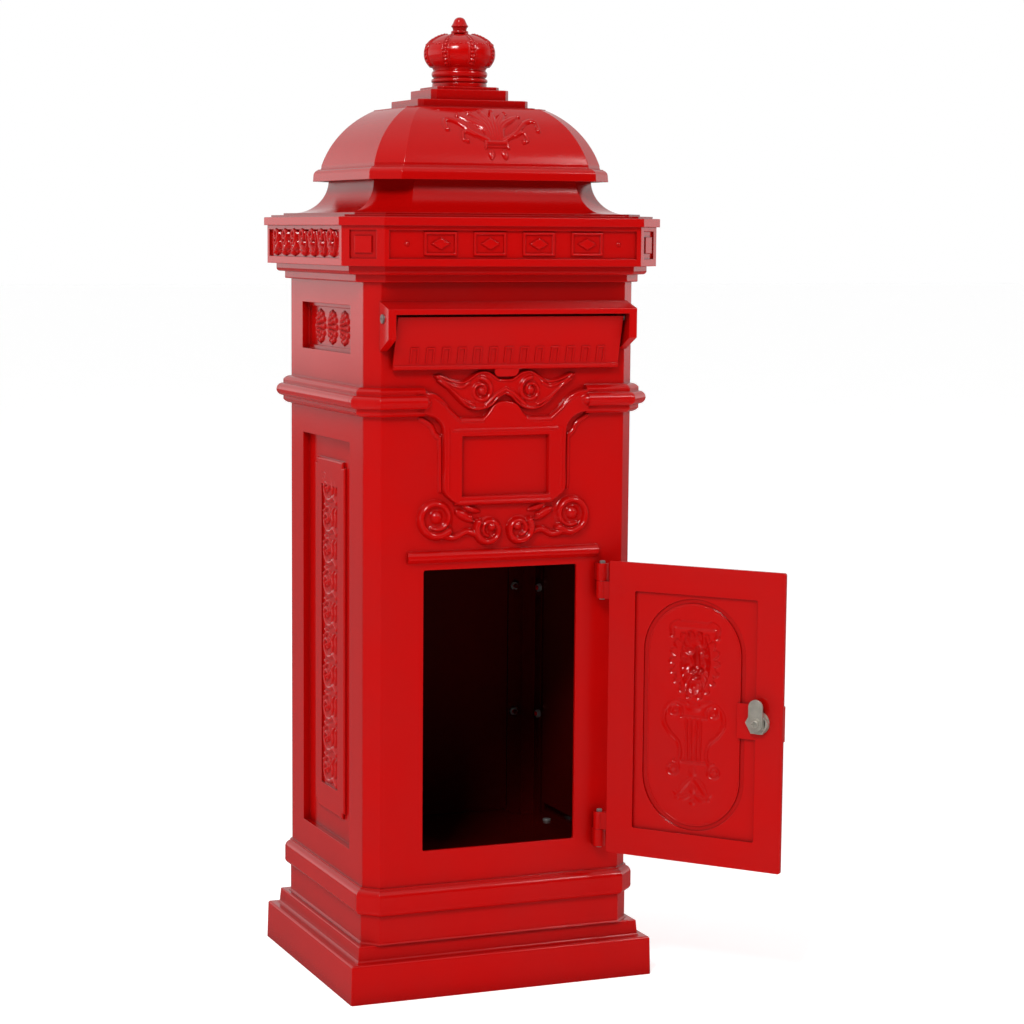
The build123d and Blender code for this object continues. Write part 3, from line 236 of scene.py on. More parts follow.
# ---------------------------------------------------------------- floor, light, camera
def studio():
    """Pale floor, white surroundings that are dim in front of the box, and two soft lights."""
    bpy.ops.mesh.primitive_plane_add(size=70)
    floor = bpy.context.object
    floor.name = "studio_floor"
    material, nodes, links, shader = node_tree("pale_floor")
    where = nodes.new("ShaderNodeTexCoord").outputs["Object"]
    patches = noise(nodes, links, where, 3, 3)
    shade = mix(nodes, links, ramp(nodes, links, patches, 0.0, 1.0), (0.93, 0.93, 0.93), (0.90, 0.90, 0.90))
    links.new(shade, shader.inputs["Base Color"])
    shader.inputs["Roughness"].default_value = 0.7
    shader.inputs["Emission Color"].default_value = (1, 1, 1, 1)
    shader.inputs["Emission Strength"].default_value = 0.56
    floor.data.materials.append(material)
    floor.visible_glossy = False

    world = bpy.data.worlds.new("studio")
    bpy.context.scene.world = world
    world.use_nodes = True
    nodes, links = world.node_tree.nodes, world.node_tree.links
    background = nodes["Background"]
    where = nodes.new("ShaderNodeTexCoord").outputs["Generated"]
    split = nodes.new("ShaderNodeSeparateXYZ")
    links.new(where, split.inputs[0])
    # white behind the box, dimmer below the horizon and overhead, and dark where the camera stands
    behind = ramp(nodes, links, split.outputs["Y"], 0.0, 1.0, (-0.45, 0.2))
    low = ramp(nodes, links, split.outputs["Z"], 0.17, 1.0, (-0.07, -0.04))
    high = ramp(nodes, links, split.outputs["Z"], 1.0, 0.6, (0.12, 0.3))
    backdrop = reckon(nodes, links, "MULTIPLY", reckon(nodes, links, "MULTIPLY", behind, low), high)
    above = ramp(nodes, links, split.outputs["Z"], 0.0, 0.45, (0.35, 0.95))
    most = reckon(nodes, links, "MAXIMUM", backdrop, above)
    tone = mix(nodes, links, most, (0.01, 0.01, 0.01), (1.0, 1.0, 1.0))
    links.new(tone, background.inputs["Color"])
    background.inputs["Strength"].default_value = 1.0

    # place and target in metres, size in metres, power in watts
    for name, place, target, size, power in (
        ("key_light", (-2.1, -2.6, 3.4), (0, 0, 0.5), (1.1, 1.1), 112),
        ("fill_light", (2.3, -2.9, 3.0), (0, 0, 0.4), (0.8, 0.8), 34),
    ):
        lamp = bpy.data.lights.new(name, "AREA")
        lamp.shape = "RECTANGLE"
        lamp.size, lamp.size_y = size
        lamp.energy = power
        holder = bpy.data.objects.new(name, lamp)
        bpy.context.scene.collection.objects.link(holder)
        holder.location = place
        aim = Vector(target) - Vector(place)
        holder.rotation_euler = aim.to_track_quat("-Z", "Y").to_euler()


def camera():
    """Long lens from the left and a little above, turned 22 degrees off the front."""
    yaw, pitch, roll = radians(21.638), radians(7.034), radians(-0.35)
    ahead = Vector((sin(yaw) * cos(pitch), cos(yaw) * cos(pitch), -sin(pitch)))
    level = Vector((cos(yaw), -sin(yaw), 0))
    down = ahead.cross(level)
    right = cos(roll) * level + sin(roll) * down
    up = sin(roll) * level - cos(roll) * down
    lens = bpy.data.cameras.new("camera")
    lens.sensor_width = 36
    lens.lens = 91.04
    lens.shift_x, lens.shift_y = 0.0532, 0.0391
    holder = bpy.data.objects.new("camera", lens)
    bpy.context.scene.collection.objects.link(holder)
    turn = Matrix((right, up, -ahead)).transposed().to_4x4()
    holder.matrix_world = Matrix.Translation((-1.0341, -2.6098, 0.7976)) @ turn
    bpy.context.scene.camera = holder


# ---------------------------------------------------------------- drawing reliefs
def smooth(points, closed=False, fine=8):
    """Rounded line through given points (Catmull-Rom)."""
    pts = [np.array(p, float) for p in points]
    if closed:
        pts = [pts[-1]] + pts + [pts[0], pts[1]]
    else:
        pts = [2 * pts[0] - pts[1]] + pts + [2 * pts[-1] - pts[-2]]
    line = []
    for a, b, c, d in zip(pts, pts[1:], pts[2:], pts[3:]):
        for i in range(fine):
            t = i / fine
            square = (2 * a - 5 * b + 4 * c - d) * t**2
            cube = (3 * b - a - 3 * c + d) * t**3
            line.append(0.5 * (2 * b + (c - a) * t + square + cube))
    if not closed:
        line.append(pts[-2])
    return np.array(line)


def curve(side, *points, middle=0):
    """Rounded line through points drawn for the right of a middle line, or mirrored for side -1."""
    return smooth([(middle + side * u, v) for u, v in points])


def both_halves(right):
    """Closed outline from its right half, drawn from top to bottom."""
    return np.array(list(right) + [(-u, v) for u, v in right[::-1]])


def rectangle(low_u, high_u, low_v, high_v):
    return np.array([(low_u, low_v), (high_u, low_v), (high_u, high_v), (low_u, high_v)], float)


def spiral(centre, start_angle, turns, r_out, r_in, steps=16, squash=1.0):
    """Volute line from the outside in; positive turns run anticlockwise."""
    line = []
    count = max(6, int(abs(turns) * steps))
    for i in range(count + 1):
        t = i / count
        angle = radians(start_angle) + 2 * pi * turns * t
        r = r_out + (r_in - r_out) * t**0.85
        line.append((centre[0] + r * cos(angle), centre[1] + squash * r * sin(angle)))
    return line


class Relief:
    """Height of a cast ornament over a grid on one face, drawn with ridges, outlines and bosses."""

    LOW = -0.9

    def __init__(self, u_range, v_range, step):
        nu = int(round((u_range[1] - u_range[0]) / step)) + 1
        nv = int(round((v_range[1] - v_range[0]) / step)) + 1
        self.u, self.v = np.meshgrid(np.linspace(*u_range, nu), np.linspace(*v_range, nv), indexing="ij")
        self.h = np.full(self.u.shape, self.LOW)

    def window(self, low_u, high_u, low_v, high_v):
        """The part of the grid around a shape, so that small shapes cost little."""
        us, vs = self.u[:, 0], self.v[0]
        i0, i1 = np.searchsorted(us, low_u), np.searchsorted(us, high_u)
        j0, j1 = np.searchsorted(vs, low_v), np.searchsorted(vs, high_v)
        return slice(max(i0 - 1, 0), i1 + 1), slice(max(j0 - 1, 0), j1 + 1)

    def add(self, window, height):
        self.h[window] = np.maximum(self.h[window], height)

    def along(self, line, width):
        """For each grid point near a line: its distance in widths, and how far along it is."""
        line = np.asarray(line, float)
        reach = 1.6 * (width if np.isscalar(width) else max(width))
        low, high = line.min(0) - reach, line.max(0) + reach
        window = self.window(low[0], high[0], low[1], high[1])
        u, v = self.u[window], self.v[window]
        best = np.full(u.shape, 9.0)
        share = np.zeros(u.shape)
        last = len(line) - 1
        for i, (a, b) in enumerate(zip(line, line[1:])):
            step = b - a
            length2 = max(step @ step, 1e-9)
            t = np.clip(((u - a[0]) * step[0] + (v - a[1]) * step[1]) / length2, 0, 1)
            s = (i + t) / last
            w = width if np.isscalar(width) else width[0] + (width[1] - width[0]) * s
            ratio = np.hypot(u - a[0] - t * step[0], v - a[1] - t * step[1]) / w
            near = ratio < best
            best = np.where(near, ratio, best)
            share = np.where(near, s, share)
        return window, best, share

    def ridge(self, line, width, height, base=0.0):
        """Rounded ridge; width (half) and height may each be a pair, start and end."""
        window, r, s = self.along(line, width)
        top = height if np.isscalar(height) else height[0] + (height[1] - height[0]) * s
        self.add(window, np.where(r < 1.5, base + top * (1 - r**2), self.LOW))

    def lens(self, line, width, height, base=0.0, vein=0.0):
        """Leaf along a line: pointed at both ends, with an optional sunk vein."""
        window, r, s = self.along(line, width)
        fat = np.sqrt(np.clip(np.sin(pi * s**0.8), 0.0, 1))
        r = r / np.maximum(fat, 0.02)
        h = base + height * (0.35 + 0.65 * fat) * (1 - r**2)
        h -= vein * np.exp(-((r / 0.18) ** 2)) * fat
        self.add(window, np.where(r < 1.5, h, self.LOW))

    def distance(self, line, reach):
        """Signed distance to a closed line, positive inside."""
        line = np.asarray(line, float)
        low, high = line.min(0) - reach, line.max(0) + reach
        window = self.window(low[0], high[0], low[1], high[1])
        u, v = self.u[window], self.v[window]
        best = np.full(u.shape, 1e9)
        inside = np.zeros(u.shape, bool)
        for a, b in zip(line, np.roll(line, -1, axis=0)):
            step = b - a
            length2 = max(step @ step, 1e-9)
            t = np.clip(((u - a[0]) * step[0] + (v - a[1]) * step[1]) / length2, 0, 1)
            best = np.minimum(best, np.hypot(u - a[0] - t * step[0], v - a[1] - t * step[1]))
            if a[1] != b[1]:
                crosses = (a[1] > v) != (b[1] > v)
                inside ^= crosses & (u < a[0] + (v - a[1]) / (b[1] - a[1]) * step[0])
        return window, np.where(inside, best, -best)

    def plate(self, line, height, edge, base=0.0):
        """Raised area inside a closed line, with a rounded edge of that width."""
        window, d = self.distance(line, edge)
        x = np.clip(d / edge, -1, 1)
        self.add(window, base + height * np.where(x > 0, 1 - (1 - x) ** 2, 2 * x))

    def hollow(self, line, depth_to, edge):
        """Sinks the area inside a closed line to a level."""
        window, d = self.distance(line, edge)
        x = np.clip(d / edge, 0, 1)
        here = self.h[window]
        self.h[window] = np.minimum(here, here + (depth_to - here) * x)

    def boss(self, centre, radii, height, base=0.0, power=1.0):
        """Dome, round or oval."""
        ru, rv = (radii, radii) if np.isscalar(radii) else radii
        reach_u, reach_v = ru * 1.3, rv * 1.3
        u, v = centre
        window = self.window(u - reach_u, u + reach_u, v - reach_v, v + reach_v)
        r2 = ((self.u[window] - u) / ru) ** 2 + ((self.v[window] - v) / rv) ** 2
        h = base + height * np.where(r2 < 1, np.clip(1 - r2, 0, 1) ** power, 1 - r2)
        self.add(window, np.where(r2 < 1.6, h, self.LOW))


def build_relief(name, relief, place, body, cut=-0.5, back=-1.2, flip=False, skin=0.0, keep=None):
    """Closed mesh of a relief: its surface, a back inside the wall, and the rim between.

    A skin thickness makes it a sheet whose back follows its surface where that is deeper,
    over the grid points to keep.
    """
    h = relief.h
    if keep is None:
        high = h > cut
        cells = high[:-1, :-1] | high[1:, :-1] | high[:-1, 1:] | high[1:, 1:]
    else:
        cells = keep[:-1, :-1] & keep[1:, :-1] & keep[:-1, 1:] & keep[1:, 1:]
    nu, nv = h.shape
    top = place(relief.u, relief.v, h if skin else np.maximum(h, cut))
    under = place(relief.u, relief.v, np.minimum(h - skin, back) if skin else np.full(h.shape, back))
    points = np.concatenate([top.reshape(-1, 3), under.reshape(-1, 3)]) * MM
    index = np.arange(nu * nv).reshape(nu, nv)
    i, j = np.nonzero(cells)
    a, b, c, d = index[i, j], index[i + 1, j], index[i + 1, j + 1], index[i, j + 1]
    lower = nu * nv
    quads = [np.stack([a, b, c, d], 1), np.stack([d, c, b, a], 1) + lower]
    padded = np.pad(cells, 1)
    for di, dj, first, second in ((-1, 0, d, a), (1, 0, b, c), (0, -1, a, b), (0, 1, c, d)):
        rim = ~padded[i + 1 + di, j + 1 + dj]
        quads.append(np.stack([second[rim], first[rim], first[rim] + lower, second[rim] + lower], 1))
    faces = np.concatenate(quads)
    if flip:
        faces = faces[:, ::-1]
    used, faces = np.unique(faces, return_inverse=True)
    mesh = bpy.data.meshes.new(name)
    mesh.from_pydata(points[used].tolist(), [], faces.reshape(-1, 4).tolist())
    mesh.polygons.foreach_set("use_smooth", [True] * len(mesh.polygons))
    mesh.update()
    piece = bpy.data.objects.new(name, mesh)
    bpy.context.scene.collection.objects.link(piece)
    mesh.materials.append(red_paint)
    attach(piece, body)
    return piece


# ---------------------------------------------------------------- faces that reliefs lie on
def end_face(level, sign):
    """Places a relief on a flat face that looks along -Y (-1) or +Y (1)."""

    def place(u, v, h):
        return np.stack([u, level + sign * h, v], -1)

    return place


def side_face(level, sign):
    """Places a relief on a flat face that looks along -X (-1) or +X (1)."""

    def place(u, v, h):
        return np.stack([np.full(u.shape, level) + sign * h, u, v], -1)

    return place


def skin_of(node):
    """Surface of a CAD piece that rays can be cast onto."""
    piece = frame["nodes"][node]
    points = [piece.matrix_world @ v.co for v in piece.data.vertices]
    return BVHTree.FromPolygons(points, [list(p.vertices) for p in piece.data.polygons])


def face_level(node, start, aim):
    """Where a ray (millimetres) meets a flat face of a CAD piece."""
    return skin_of(node).ray_cast(Vector(start) * MM, Vector(aim))[0] / MM


def draped(node, ray):
    """Lays a relief over a curved surface; ray(u, v) gives a start point and a direction."""
    skin = skin_of(node)

    def place(u, v, h):
        out = np.empty(u.shape + (3,))
        for index in np.ndindex(u.shape):
            start, aim = ray(u[index], v[index])
            spot, normal, _, _ = skin.ray_cast(Vector(start) * MM, Vector(aim))
            if spot is None:
                spot, normal, _, _ = skin.find_nearest(Vector(start) * MM)
            out[index] = np.array(spot) / MM + h[index] * np.array(normal)
        return out

    return place


# ---------------------------------------------------------------- ornament on the front
def front_cartouche():
    """Strapwork round the name field, from the waist moulding down to four volutes."""
    waist = 625.3
    r = Relief((-104, 104), (466, 644), 0.75)
    shoulder = smooth([
        (103, waist - 12), (92, 612), (80, 608.5), (72, 601), (69.5, 590), (69, 560), (69, 533), (61, 523),
    ])
    foot = [np.array(p, float) for p in ((52, 517), (0, 517))]
    peak = smooth([(0, 625.5), (8, 624.5), (15, 620.5), (20, 613.5), (25, 608.8)], fine=5)
    shelf = [np.array((49, 608.8))]
    rise = smooth([(50, 609), (60, 618), (68, 627), (80, 634.5), (103, 637.5)])
    r.plate(both_halves(list(peak) + shelf + list(rise) + list(shoulder) + foot), 5.0, 2.0)
    # the plate grows as thick as the waist moulding's lips where it runs into it
    share = np.clip((np.abs(r.u) - 58) / 34, 0, 1)
    growth = share**2 * (3 - 2 * share)
    r.h = np.where(r.h > 0, r.h * (1 + 0.68 * growth), r.h)
    for side in (1, -1):
        # rounded end of the waist moulding's half round
        r.boss((side * 93, waist), (11, 7.6), 14.6, power=0.5)
        r.ridge([(side * 104, waist), (side * 93, waist)], 7.2, 15.0)
        # second, lower step along the outside of the shoulders
        r.ridge(curve(side, (93, 608), (82, 600.5), (78, 593), (73, 588)), 3.2, 2.8)
        r.ridge([(side * 72, 589), (side * 71.5, 533)], 2.6, 2.6)
        # bead that follows the shelf and the rise beside the peak
        bead = curve(side, (50.5, 604.8), (62, 615.5), (71, 624), (82, 630))
        r.ridge(bead, (1.6, 1.2), (1.6, 3.4), base=4.6)
        r.ridge([(side * 25, 604.8), (side * 50.5, 604.8)], 1.6, 1.6, base=4.6)
        # lip down the inner side of the strap
        r.ridge([(side * 63.5, 596), (side * 63.5, 532)], 1.5, 1.2, base=4.7)
    r.ridge([(-58, 595.5), (58, 595.5)], 1.6, 1.4, base=4.7)
    r.ridge([(-50, 520.5), (50, 520.5)], 2.2, 2.0, base=4.4)
    r.hollow(rectangle(-48.5, 49.5, 526, 589.5), Relief.LOW, 1.6)
    for side in (1, -1):
        middle = (side * 76, 505)
        big = spiral(middle, 270 - side * 45, side * 1.2, 19.5, 11.5)
        r.ridge(smooth(big, fine=3), (5.2, 3.6), (7.5, 5.0))
        r.boss(middle, 19, 2.4, power=0.4)
        r.boss((side * 76.5, 506), 8.2, 7.5, power=0.8)
        small = spiral((side * 17, 491), 90 - side * 55, -side * 1.3, 14.6, 6.5)
        r.ridge(smooth(small, fine=3), (5.0, 3.4), (7.5, 5.2))
        r.boss((side * 17, 491), 14, 2.2, power=0.4)
        r.boss((side * 14.5, 494.5), 6.0, 7.2, power=0.8)
        r.ridge(curve(side, (68, 487), (55, 484.5), (42, 490), (32, 487)), (4.2, 3.6), (5.2, 4.8))
        r.lens(curve(side, (55, 512), (44, 506), (34, 500)), 5.2, 4.4)
        r.lens(curve(side, (47, 517), (37, 513), (26, 510)), 3.8, 3.4)
        r.boss((side * 38, 505), 3.6, 4.6)
    build_relief("front_cartouche", r, end_face(front_y, -1), "pillar")


def wing_scroll():
    """Pair of volutes with winged leaves, under the letter flap."""
    r = Relief((-84, 84), (612, 660), 0.6)
    upper = [(0, 647), (8, 647.5), (14, 651.5), (22, 656), (31, 656), (39, 651.5), (50, 645.5), (64, 647)]
    tip = [(80, 653), (70, 642.5)]
    lower = [(59, 631.5), (50, 622.5), (41, 617), (29, 616.2), (17, 620.5), (8, 629.5), (0, 633.5)]
    outline = both_halves(smooth(upper + tip + lower, fine=5))
    r.plate(outline, 3.2, 2.6)
    r.ridge(outline * 0.93 + np.array((0, 44.3)), 1.5, 2.2, base=2.6)
    for side in (1, -1):
        volute = spiral((side * 28, 636), 90, side * 1.4, 13, 4.5)
        r.ridge(smooth(volute, fine=3), (3.0, 2.0), (3.4, 2.8), base=3.0)
        r.boss((side * 27.5, 636), 4.8, 4.6, base=2.6, power=0.8)
        r.ridge(curve(side, (77, 651), (63, 643.5), (50, 639.5), (41, 644)), (1.2, 2.2), (1.4, 2.8), base=2.8)
        r.ridge(curve(side, (74, 646.5), (60, 637), (48, 627), (36, 621)), (1.2, 2.2), (1.4, 2.8), base=2.8)
        r.ridge(curve(side, (22, 621), (11, 631), (0, 637)), 2.6, 2.6, base=2.8)
    build_relief("wing_scroll", r, end_face(front_y, -1), "pillar")


# ---------------------------------------------------------------- ornament on the cornice, sides and roof
def frieze_fret(name, sign):
    """Row of stepped lozenge frets between two studs, in the long field of the frieze."""
    level = face_level("cornice", (0, sign * 400, 786), (0, -sign, 0)).y
    r = Relief((-124, 124), (770, 802), 0.6)
    bar, half, low, high, middle = 1.6, 18, 775.6, 797, 786.3
    for centre in (-81, -27, 27, 81):
        left, right = centre - half + bar, centre + half - bar
        level_bars = ((left, right, low, low), (left, right, high, high))
        upright_bars = ((right, right, low, high), (left, left, low, high))
        for bounds in level_bars + upright_bars:
            grown = [edge + bar * way for edge, way in zip(bounds, (-1, 1, -1, 1))]
            r.plate(rectangle(*grown), 2.2, 0.9)
        lozenge = [(centre - 11, middle), (centre, 780), (centre + 11, middle), (centre, 792.6)]
        r.plate(np.array(lozenge), 2.2, 1.0)
    for side in (-117, 117):
        r.boss((side, middle), 3.0, 2.2)
    build_relief("frieze_fret_" + name, r, end_face(level, sign), "pillar", flip=sign > 0)


def frieze_scrolls(name, sign):
    """Seven curled leaves side by side in the field on each side of the frieze."""
    level = face_level("cornice", (sign * 400, 0, 786), (-sign, 0, 0)).x
    r = Relief((-112, 112), (768, 804), 0.6)
    count, pitch = 7, 30.5
    for i in range(count):
        c = (i - count // 2) * pitch
        turn = 1 if i < 4 else -1
        head = spiral((c, 793.5), -90, turn * 1.1, 8.2, 3.2)
        r.ridge(smooth(head, fine=2), (3.6, 2.6), (5.0, 4.4))
        r.boss((c - turn * 0.5, 792.5), 3.4, 5.2)
        r.lens(curve(turn, (7, 789), (5.5, 783), (-1.5, 779), (-2.5, 775.5), middle=c), 4.4, 4.4)
        back = curve(turn, (-9, 797), (-11, 788), (-8, 779), (-4, 773.5), middle=c)
        r.ridge(back, (2.2, 1.8), (3.2, 2.4))
        r.boss((c - turn * 2.5, 775.6), (5.2, 4.2), 5.2)
        r.boss((c + turn * 8.5, 776.5), (2.6, 2.4), 2.6)
    build_relief("frieze_scrolls_" + name, r, side_face(level, sign), "pillar", flip=sign < 0)


def rosettes(name, sign):
    """Three tall oval rosettes in the upper recess of a side."""
    level = face_level(name + "_panel", (sign * 400, 0, 697), (-sign, 0, 0)).x
    r = Relief((-64, 64), (674, 720), 0.6)
    middle = 697
    rings = ((12, 12.5, 15.0, 3.6, 2.4), (9, 8.0, 10.2, 3.2, 3.4), (6, 4.0, 5.4, 2.6, 4.0))
    for centre in (-36, 3, 42):
        for ring, (petals, ru, rv, size, tall) in enumerate(rings):
            for k in range(petals):
                angle = 2 * pi * (k + 0.5 * (ring % 2)) / petals
                petal = (centre + ru * cos(angle), middle + rv * sin(angle))
                r.boss(petal, (size, size * 1.1), tall, power=0.7)
        r.boss((centre, middle), 2.6, 4.6)
    build_relief("rosettes_" + name, r, side_face(level, sign), "pillar", flip=sign < 0)


def foliage_strip(name, sign):
    """Upright strip of curling leaves, the same spray ten times over, sunk in the tall side panel."""
    level = face_level(name + "_panel", (sign * 400, 0, 371.6), (-sign, 0, 0)).x
    low, high, count = 202.0, 542.0, 10
    pitch = (high - low) / count
    r = Relief((-25.6, 25.6), (low, high), 0.7)
    for i in range(count):
        z = low + pitch * (i + 0.5)

        def at(*points):
            return [(-sign * u, z + v) for u, v in points]

        stem = at((-22, -13), (-12, -8), (-3, -11), (7, -12), (16, -7))
        curl = at((19, 0), (14, 6), (7, 4), (6, -1), (10, -3))
        r.ridge(smooth(stem + curl), (3.4, 2.0), (3.0, 2.2))
        r.ridge(smooth(at((16, -7), (20, 4), (14, 12), (5, 14), (-1, 10))), (2.6, 1.6), (2.6, 1.6))
        r.lens(smooth(at((-3, -11), (-8, -1), (-6, 8), (-12, 15))), 4.2, 2.8, vein=0.9)
        r.lens(smooth(at((-12, -8), (-18, 0), (-17, 9), (-21, 15))), 3.8, 2.6, vein=0.8)
        r.lens(smooth(at((9, 12), (15, 16), (21, 15))), 2.6, 2.4)
        r.boss(at((10, 0))[0], (3.0, 2.8), 3.6)
        r.boss(at((-21, -15))[0], (2.6, 2.0), 2.8)
        r.boss(at((20, 9))[0], (2.2, 2.2), 2.8)
        r.boss(at((1, 3))[0], (2.4, 4.5), 2.4)
    build_relief("foliage_strip_" + name, r, side_face(level, sign), "pillar", flip=sign < 0)


def dome_crest():
    """Palmette on the front slope of the dome: a fan of leaves, two side curls, a band and two drops."""
    r = Relief((-58, 60), (871, 925), 0.6)
    middle, foot = 2, 889
    leaves = ((-30, 30, 4.6), (-18, 33, 4.8), (-6, 35, 5.0), (6, 35, 5.0), (18, 33, 4.8), (30, 30, 4.6))
    for lean, long, wide in leaves:
        tip = (middle + lean * 1.15, foot + long)
        bend = (middle + lean * 0.35, foot + long * 0.6)
        start = (middle + lean * 0.22, foot + 1)
        r.lens(smooth([start, bend, tip]), wide, 2.6, vein=0.9)
        r.boss((tip[0], tip[1] - 1), (2.8, 2.2), 2.6)
    for side in (1, -1):
        sweep = curve(side, (9, 892), (24, 900), (38, 911), (50, 913), (52, 905), middle=middle)
        r.ridge(sweep, (3.4, 2.2), (2.8, 2.4))
        curl = curve(side, (22, 897), (33, 901), (36, 893), (31, 890), middle=middle)
        r.ridge(curl, (2.6, 1.8), (2.4, 2.0))
        r.boss((middle + side * 51, 903.5), 3.2, 2.8)
        r.boss((middle + side * 31.5, 891.5), 2.6, 2.6)
        r.ridge([(middle + side * 11, 895), (middle + side * 12.5, 884)], (2.2, 1.6), 2.2)
        r.lens([(middle + side * 7, 883), (middle + side * 8, 872)], 4.2, 2.2, vein=1.0)
    r.ridge([(-8, 889.5), (12, 889.5)], 2.4, 2.8)
    r.ridge([(-8, 885.5), (12, 885.5)], 1.4, 1.8)
    place = draped("dome", lambda u, v: ((u, FAR_OUT, v), (0, 1, 0)))
    build_relief("dome_crest", r, place, "pillar", back=-1.0)


def crown_ribs():
    """Eight ribs with a string of pearls down each, and a row of pearls round the crown's shoulder."""
    low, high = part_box("crown")
    middle = Vector(((low.x + high.x) / 2, (low.y + high.y) / 2, 0)) / MM
    radius = (high.x - low.x) / 2 / MM
    centre_z = high.z / MM - 21
    around = 2 * pi * radius
    ribs, pearls, between = 8, 12, 7
    pitch = around / ribs

    def ray(u, v):
        angle, rise = u / radius, v / radius
        away = Vector((cos(angle) * cos(rise), sin(angle) * cos(rise), sin(rise)))
        return middle + Vector((0, 0, centre_z)) + away * 90, -away

    r = Relief((-pitch / 2, around - pitch / 2), (-15, 38), 0.55)
    for rib in range(ribs):
        u = pitch * rib
        for shift in (-3.6, 3.6):
            r.ridge([(u + shift, -14), (u + shift, 14), (u + shift * 0.62, 37)], (1.1, 0.8), 1.1)
        for k in range(pearls):
            v = -12 + 4.1 * k
            wide, tall = (2.5, 1.9) if v < 16 else (2.0, 1.5)
            r.boss((u, v), (wide, tall), 1.7, power=0.6)
        for k in range(1, between):
            pearl = u + pitch * k / between
            if pearl >= around - pitch / 2:
                pearl -= around
            r.boss((pearl, 10.5), (1.6, 1.3), 0.9, power=0.6)
    build_relief("crown_ribs", r, draped("crown", ray), "pillar", cut=-0.3, back=-0.8)


# ---------------------------------------------------------------- ornament on the door
def door_places():
    """Turns closed-door millimetres to where the door stands."""
    hinge = [j for j in frame["record"]["behaviour"]["joints"] if j["name"] == "door_hinge"][0]
    axis = np.array(hinge["pos_m"]) / MM
    angle = -radians(hinge["range_deg"][0])
    turn = np.array(((cos(angle), -sin(angle)), (sin(angle), cos(angle))))

    def opened(x, y, z):
        flat = np.stack([x - axis[0], y - axis[1]], -1) @ turn.T
        return np.stack([flat[..., 0] + axis[0], flat[..., 1] + axis[1], z], -1)

    return opened


# the oval pocket on the door's inner face, its lining, and the mask's height over the oval's middle
OVAL_AT = (0.0, 299.45)
OVAL_HALF = (51.0, 116.0)
SUNK_FACE = 3.5
LINED_DEPTH = 1.7
LINED_SHEET = 0.9
MASK_AT = 56.5
MASK_HALF = (17.5, 34.5)


def oval_line(half_u, half_v, steps=24):
    """Upright oval with straight sides and round ends."""
    straight = half_v - half_u
    line = []
    for end, start in ((1, 0), (-1, 180)):
        for k in range(steps + 1):
            angle = radians(start + 180 * k / steps)
            line.append((half_u * cos(angle), end * straight + half_u * sin(angle)))
    return np.array(line)


def mask_heights(r, deepen):
    """Generic foliage mask: a scrolled brow, curling leaves round a muzzle, and a beard."""
    top = MASK_AT
    flat = deepen * 0.3
    upper_leaves = ((5, 29, 4.8), (13, 27, 4.6), (20, 20, 4.6), (24, 11, 4.4), (25, 0, 4.4))
    lower_leaves = ((24, -11, 4.4), (20, -21, 4.6), (14, -30, 4.6), (6, -36, 4.6))
    r.ridge([(-20, top + 38), (20, top + 38)], 5.0, flat * 0.7)
    for side in (1, -1):
        r.ridge(curve(side, (19, top + 40), (26, top + 36), (25, top + 28)), (4.0, 2.4), flat)
        r.boss((side * 25.5, top + 27), 3.0, flat)
        for lean, rise, wide in upper_leaves + lower_leaves:
            curl = curve(
                side,
                (lean * 0.4, top + rise * 0.4),
                (lean * 0.78, top + rise * 0.66),
                (lean * 1.02, top + rise * 0.98),
                (lean * 0.9 + 3, top + rise + 1.5),
            )
            r.lens(curl, wide, deepen * 0.5, vein=deepen * 0.16)
            r.boss((side * (lean * 0.9 + 2), top + rise + 1), 2.4, flat)
        r.boss((side * 7.5, top + 11), (7.0, 5.0), deepen * 0.66)
        r.boss((side * 9.5, top - 3), (7.5, 9.0), deepen * 0.72)
        r.boss((side * 4.2, top - 9.5), (5.4, 5.0), deepen)
    r.boss((0, top + 19), (12, 9), deepen * 0.62)
    r.ridge([(0, top + 14), (0, top - 5)], (3.6, 5.2), (deepen * 0.75, deepen))
    r.boss((0, top - 17), (7.5, 4.6), deepen * 0.86)
    r.boss((0, top - 25), (9, 8), deepen * 0.55)


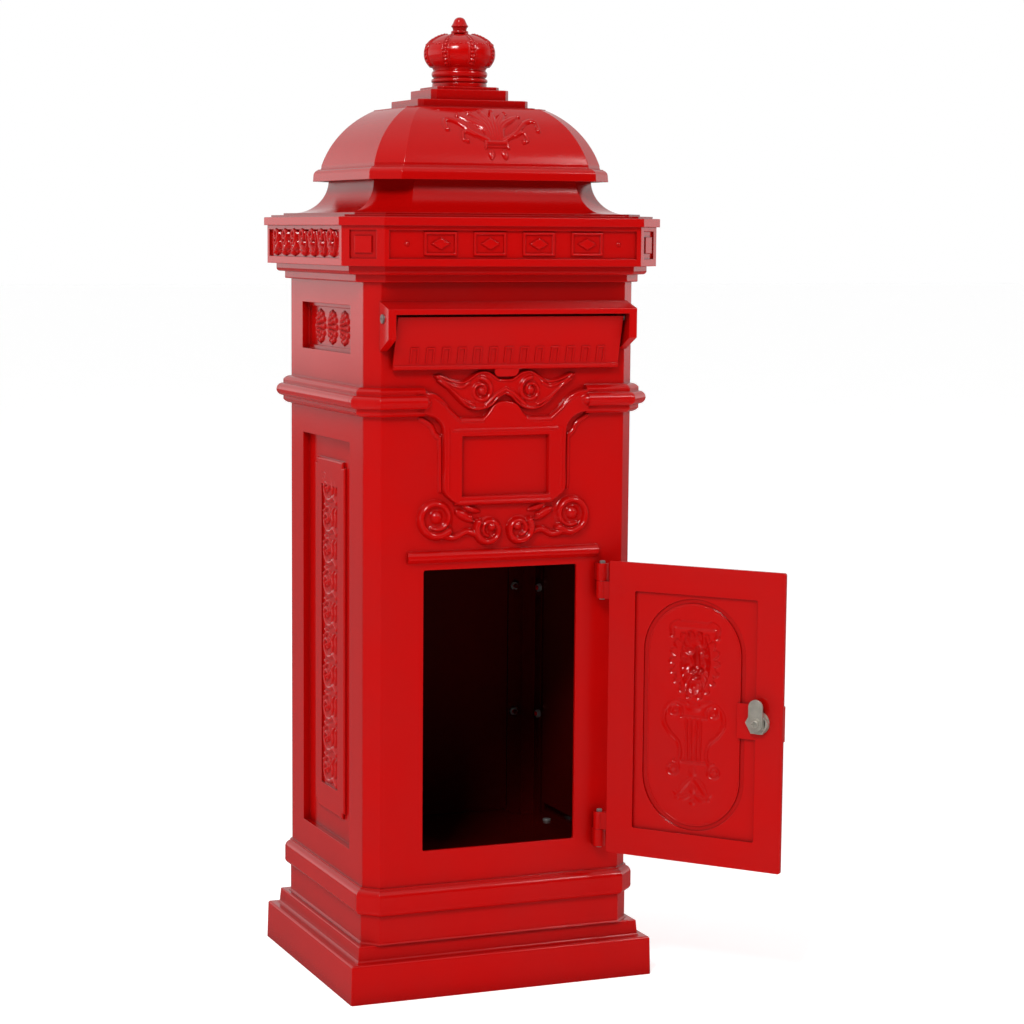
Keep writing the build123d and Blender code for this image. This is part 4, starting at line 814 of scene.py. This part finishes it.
def scrollwork(r, height):
    """Vase-like spray of reeds between two big C-scrolls, with a small knot of leaves under it."""
    for side in (1, -1):
        arm = curve(side, (8, 12), (20, 14), (31, 6), (34, -8), (27, -20), (17, -30), (15, -44), (19, -54))
        r.ridge(arm, (3.2, 2.2), height)
        lower_end = spiral((side * 24, -58), 90 + side * 10, side * 1.2, 8.5, 3)
        r.ridge(smooth(lower_end, fine=2), (2.4, 1.8), height)
        upper_end = spiral((side * 22, 4), 90 + side * 110, -side * 1.1, 9, 3)
        r.ridge(smooth(upper_end, fine=2), (2.2, 1.6), height * 0.9)
        r.boss((side * 24, -58), 3.0, height)
        r.boss((side * 22, 4), 3.2, height)
        for shift in (3.0, 8.2):
            r.ridge([(side * shift, -2), (side * shift * 0.9, -48)], 1.8, height * 0.85)
        r.lens(curve(side, (2, -66), (10, -74), (17, -86)), 4.5, height, vein=0.5)
        r.lens(curve(side, (3, -84), (12, -88), (22, -82)), 3.8, height * 0.9, vein=0.5)
        r.boss((side * 17, -88), 3.0, height)
    r.boss((0, 8), (9, 5), height)
    r.ridge([(-14, -2), (14, -2)], 2.0, height)
    r.ridge([(-13, -50), (13, -50)], 2.2, height)
    r.boss((0, -60), (5, 7), height)
    r.boss((0, -78), (4.5, 6), height)
    r.boss((0, -92), (4, 4), height * 0.9)


def door_lining():
    """Sheet in the oval pocket of the inner face, which shows the back of the cast ornament, sunk."""
    opened = door_places()
    drawn = Relief((-52.5, 52.5), (-117.5, 117.5), 0.75)
    drawn.LOW = 0.0
    drawn.h[:] = 0.0
    mask_heights(drawn, 9.0)
    scrollwork(drawn, 1.2)
    roundness = 1 - (drawn.u / MASK_HALF[0]) ** 2 - ((drawn.v - MASK_AT) / MASK_HALF[1]) ** 2
    basin = 4.6 * np.clip(roundness, 0, 1) ** 0.7
    deepest = 1.4 + 8.2 * np.clip(roundness * 1.8, 0, 1)
    window, inside = drawn.distance(oval_line(*OVAL_HALF), 4)
    drawn.h = -0.08 - np.clip(basin + drawn.h * np.where(basin > 0, 0.62, 1.0), 0, deepest)
    keep = np.zeros(drawn.h.shape, bool)
    keep[window] = inside > -0.8

    def place(u, v, h):
        return opened(OVAL_AT[0] - u, front_y - SUNK_FACE + h, OVAL_AT[1] + v)

    build_relief("door_lining", drawn, place, "door", back=-LINED_DEPTH, skin=LINED_SHEET, keep=keep)


def door_front():
    """The same ornament on the outer face, raised, with the mask on the hollow boss."""
    opened = door_places()
    outside, inside = (opened(np.array(0.0), np.array(y), np.array(0.0)) for y in (0.0, 1.0))
    r = Relief((-48, 48), (-108, 108), 0.75)
    mask_heights(r, 3.4)
    scrollwork(r, 1.6)

    def ray(u, v):
        start = opened(np.array(OVAL_AT[0] + u), np.array(FAR_OUT), np.array(OVAL_AT[1] + v))
        return start, inside - outside

    build_relief("door_front", r, draped("door_panel", ray), "door", cut=-0.3, back=-0.8)


# ---------------------------------------------------------------- make everything
paint_cad_nodes()
studio()
camera()
bpy.context.scene.view_settings.view_transform = "Standard"
front_cartouche()
wing_scroll()
frieze_fret("front", -1)
frieze_fret("back", 1)
for name, sign in (("left", -1), ("right", 1)):
    frieze_scrolls(name, sign)
    rosettes(name, sign)
    foliage_strip(name, sign)
dome_crest()
crown_ribs()
door_lining()
door_front()
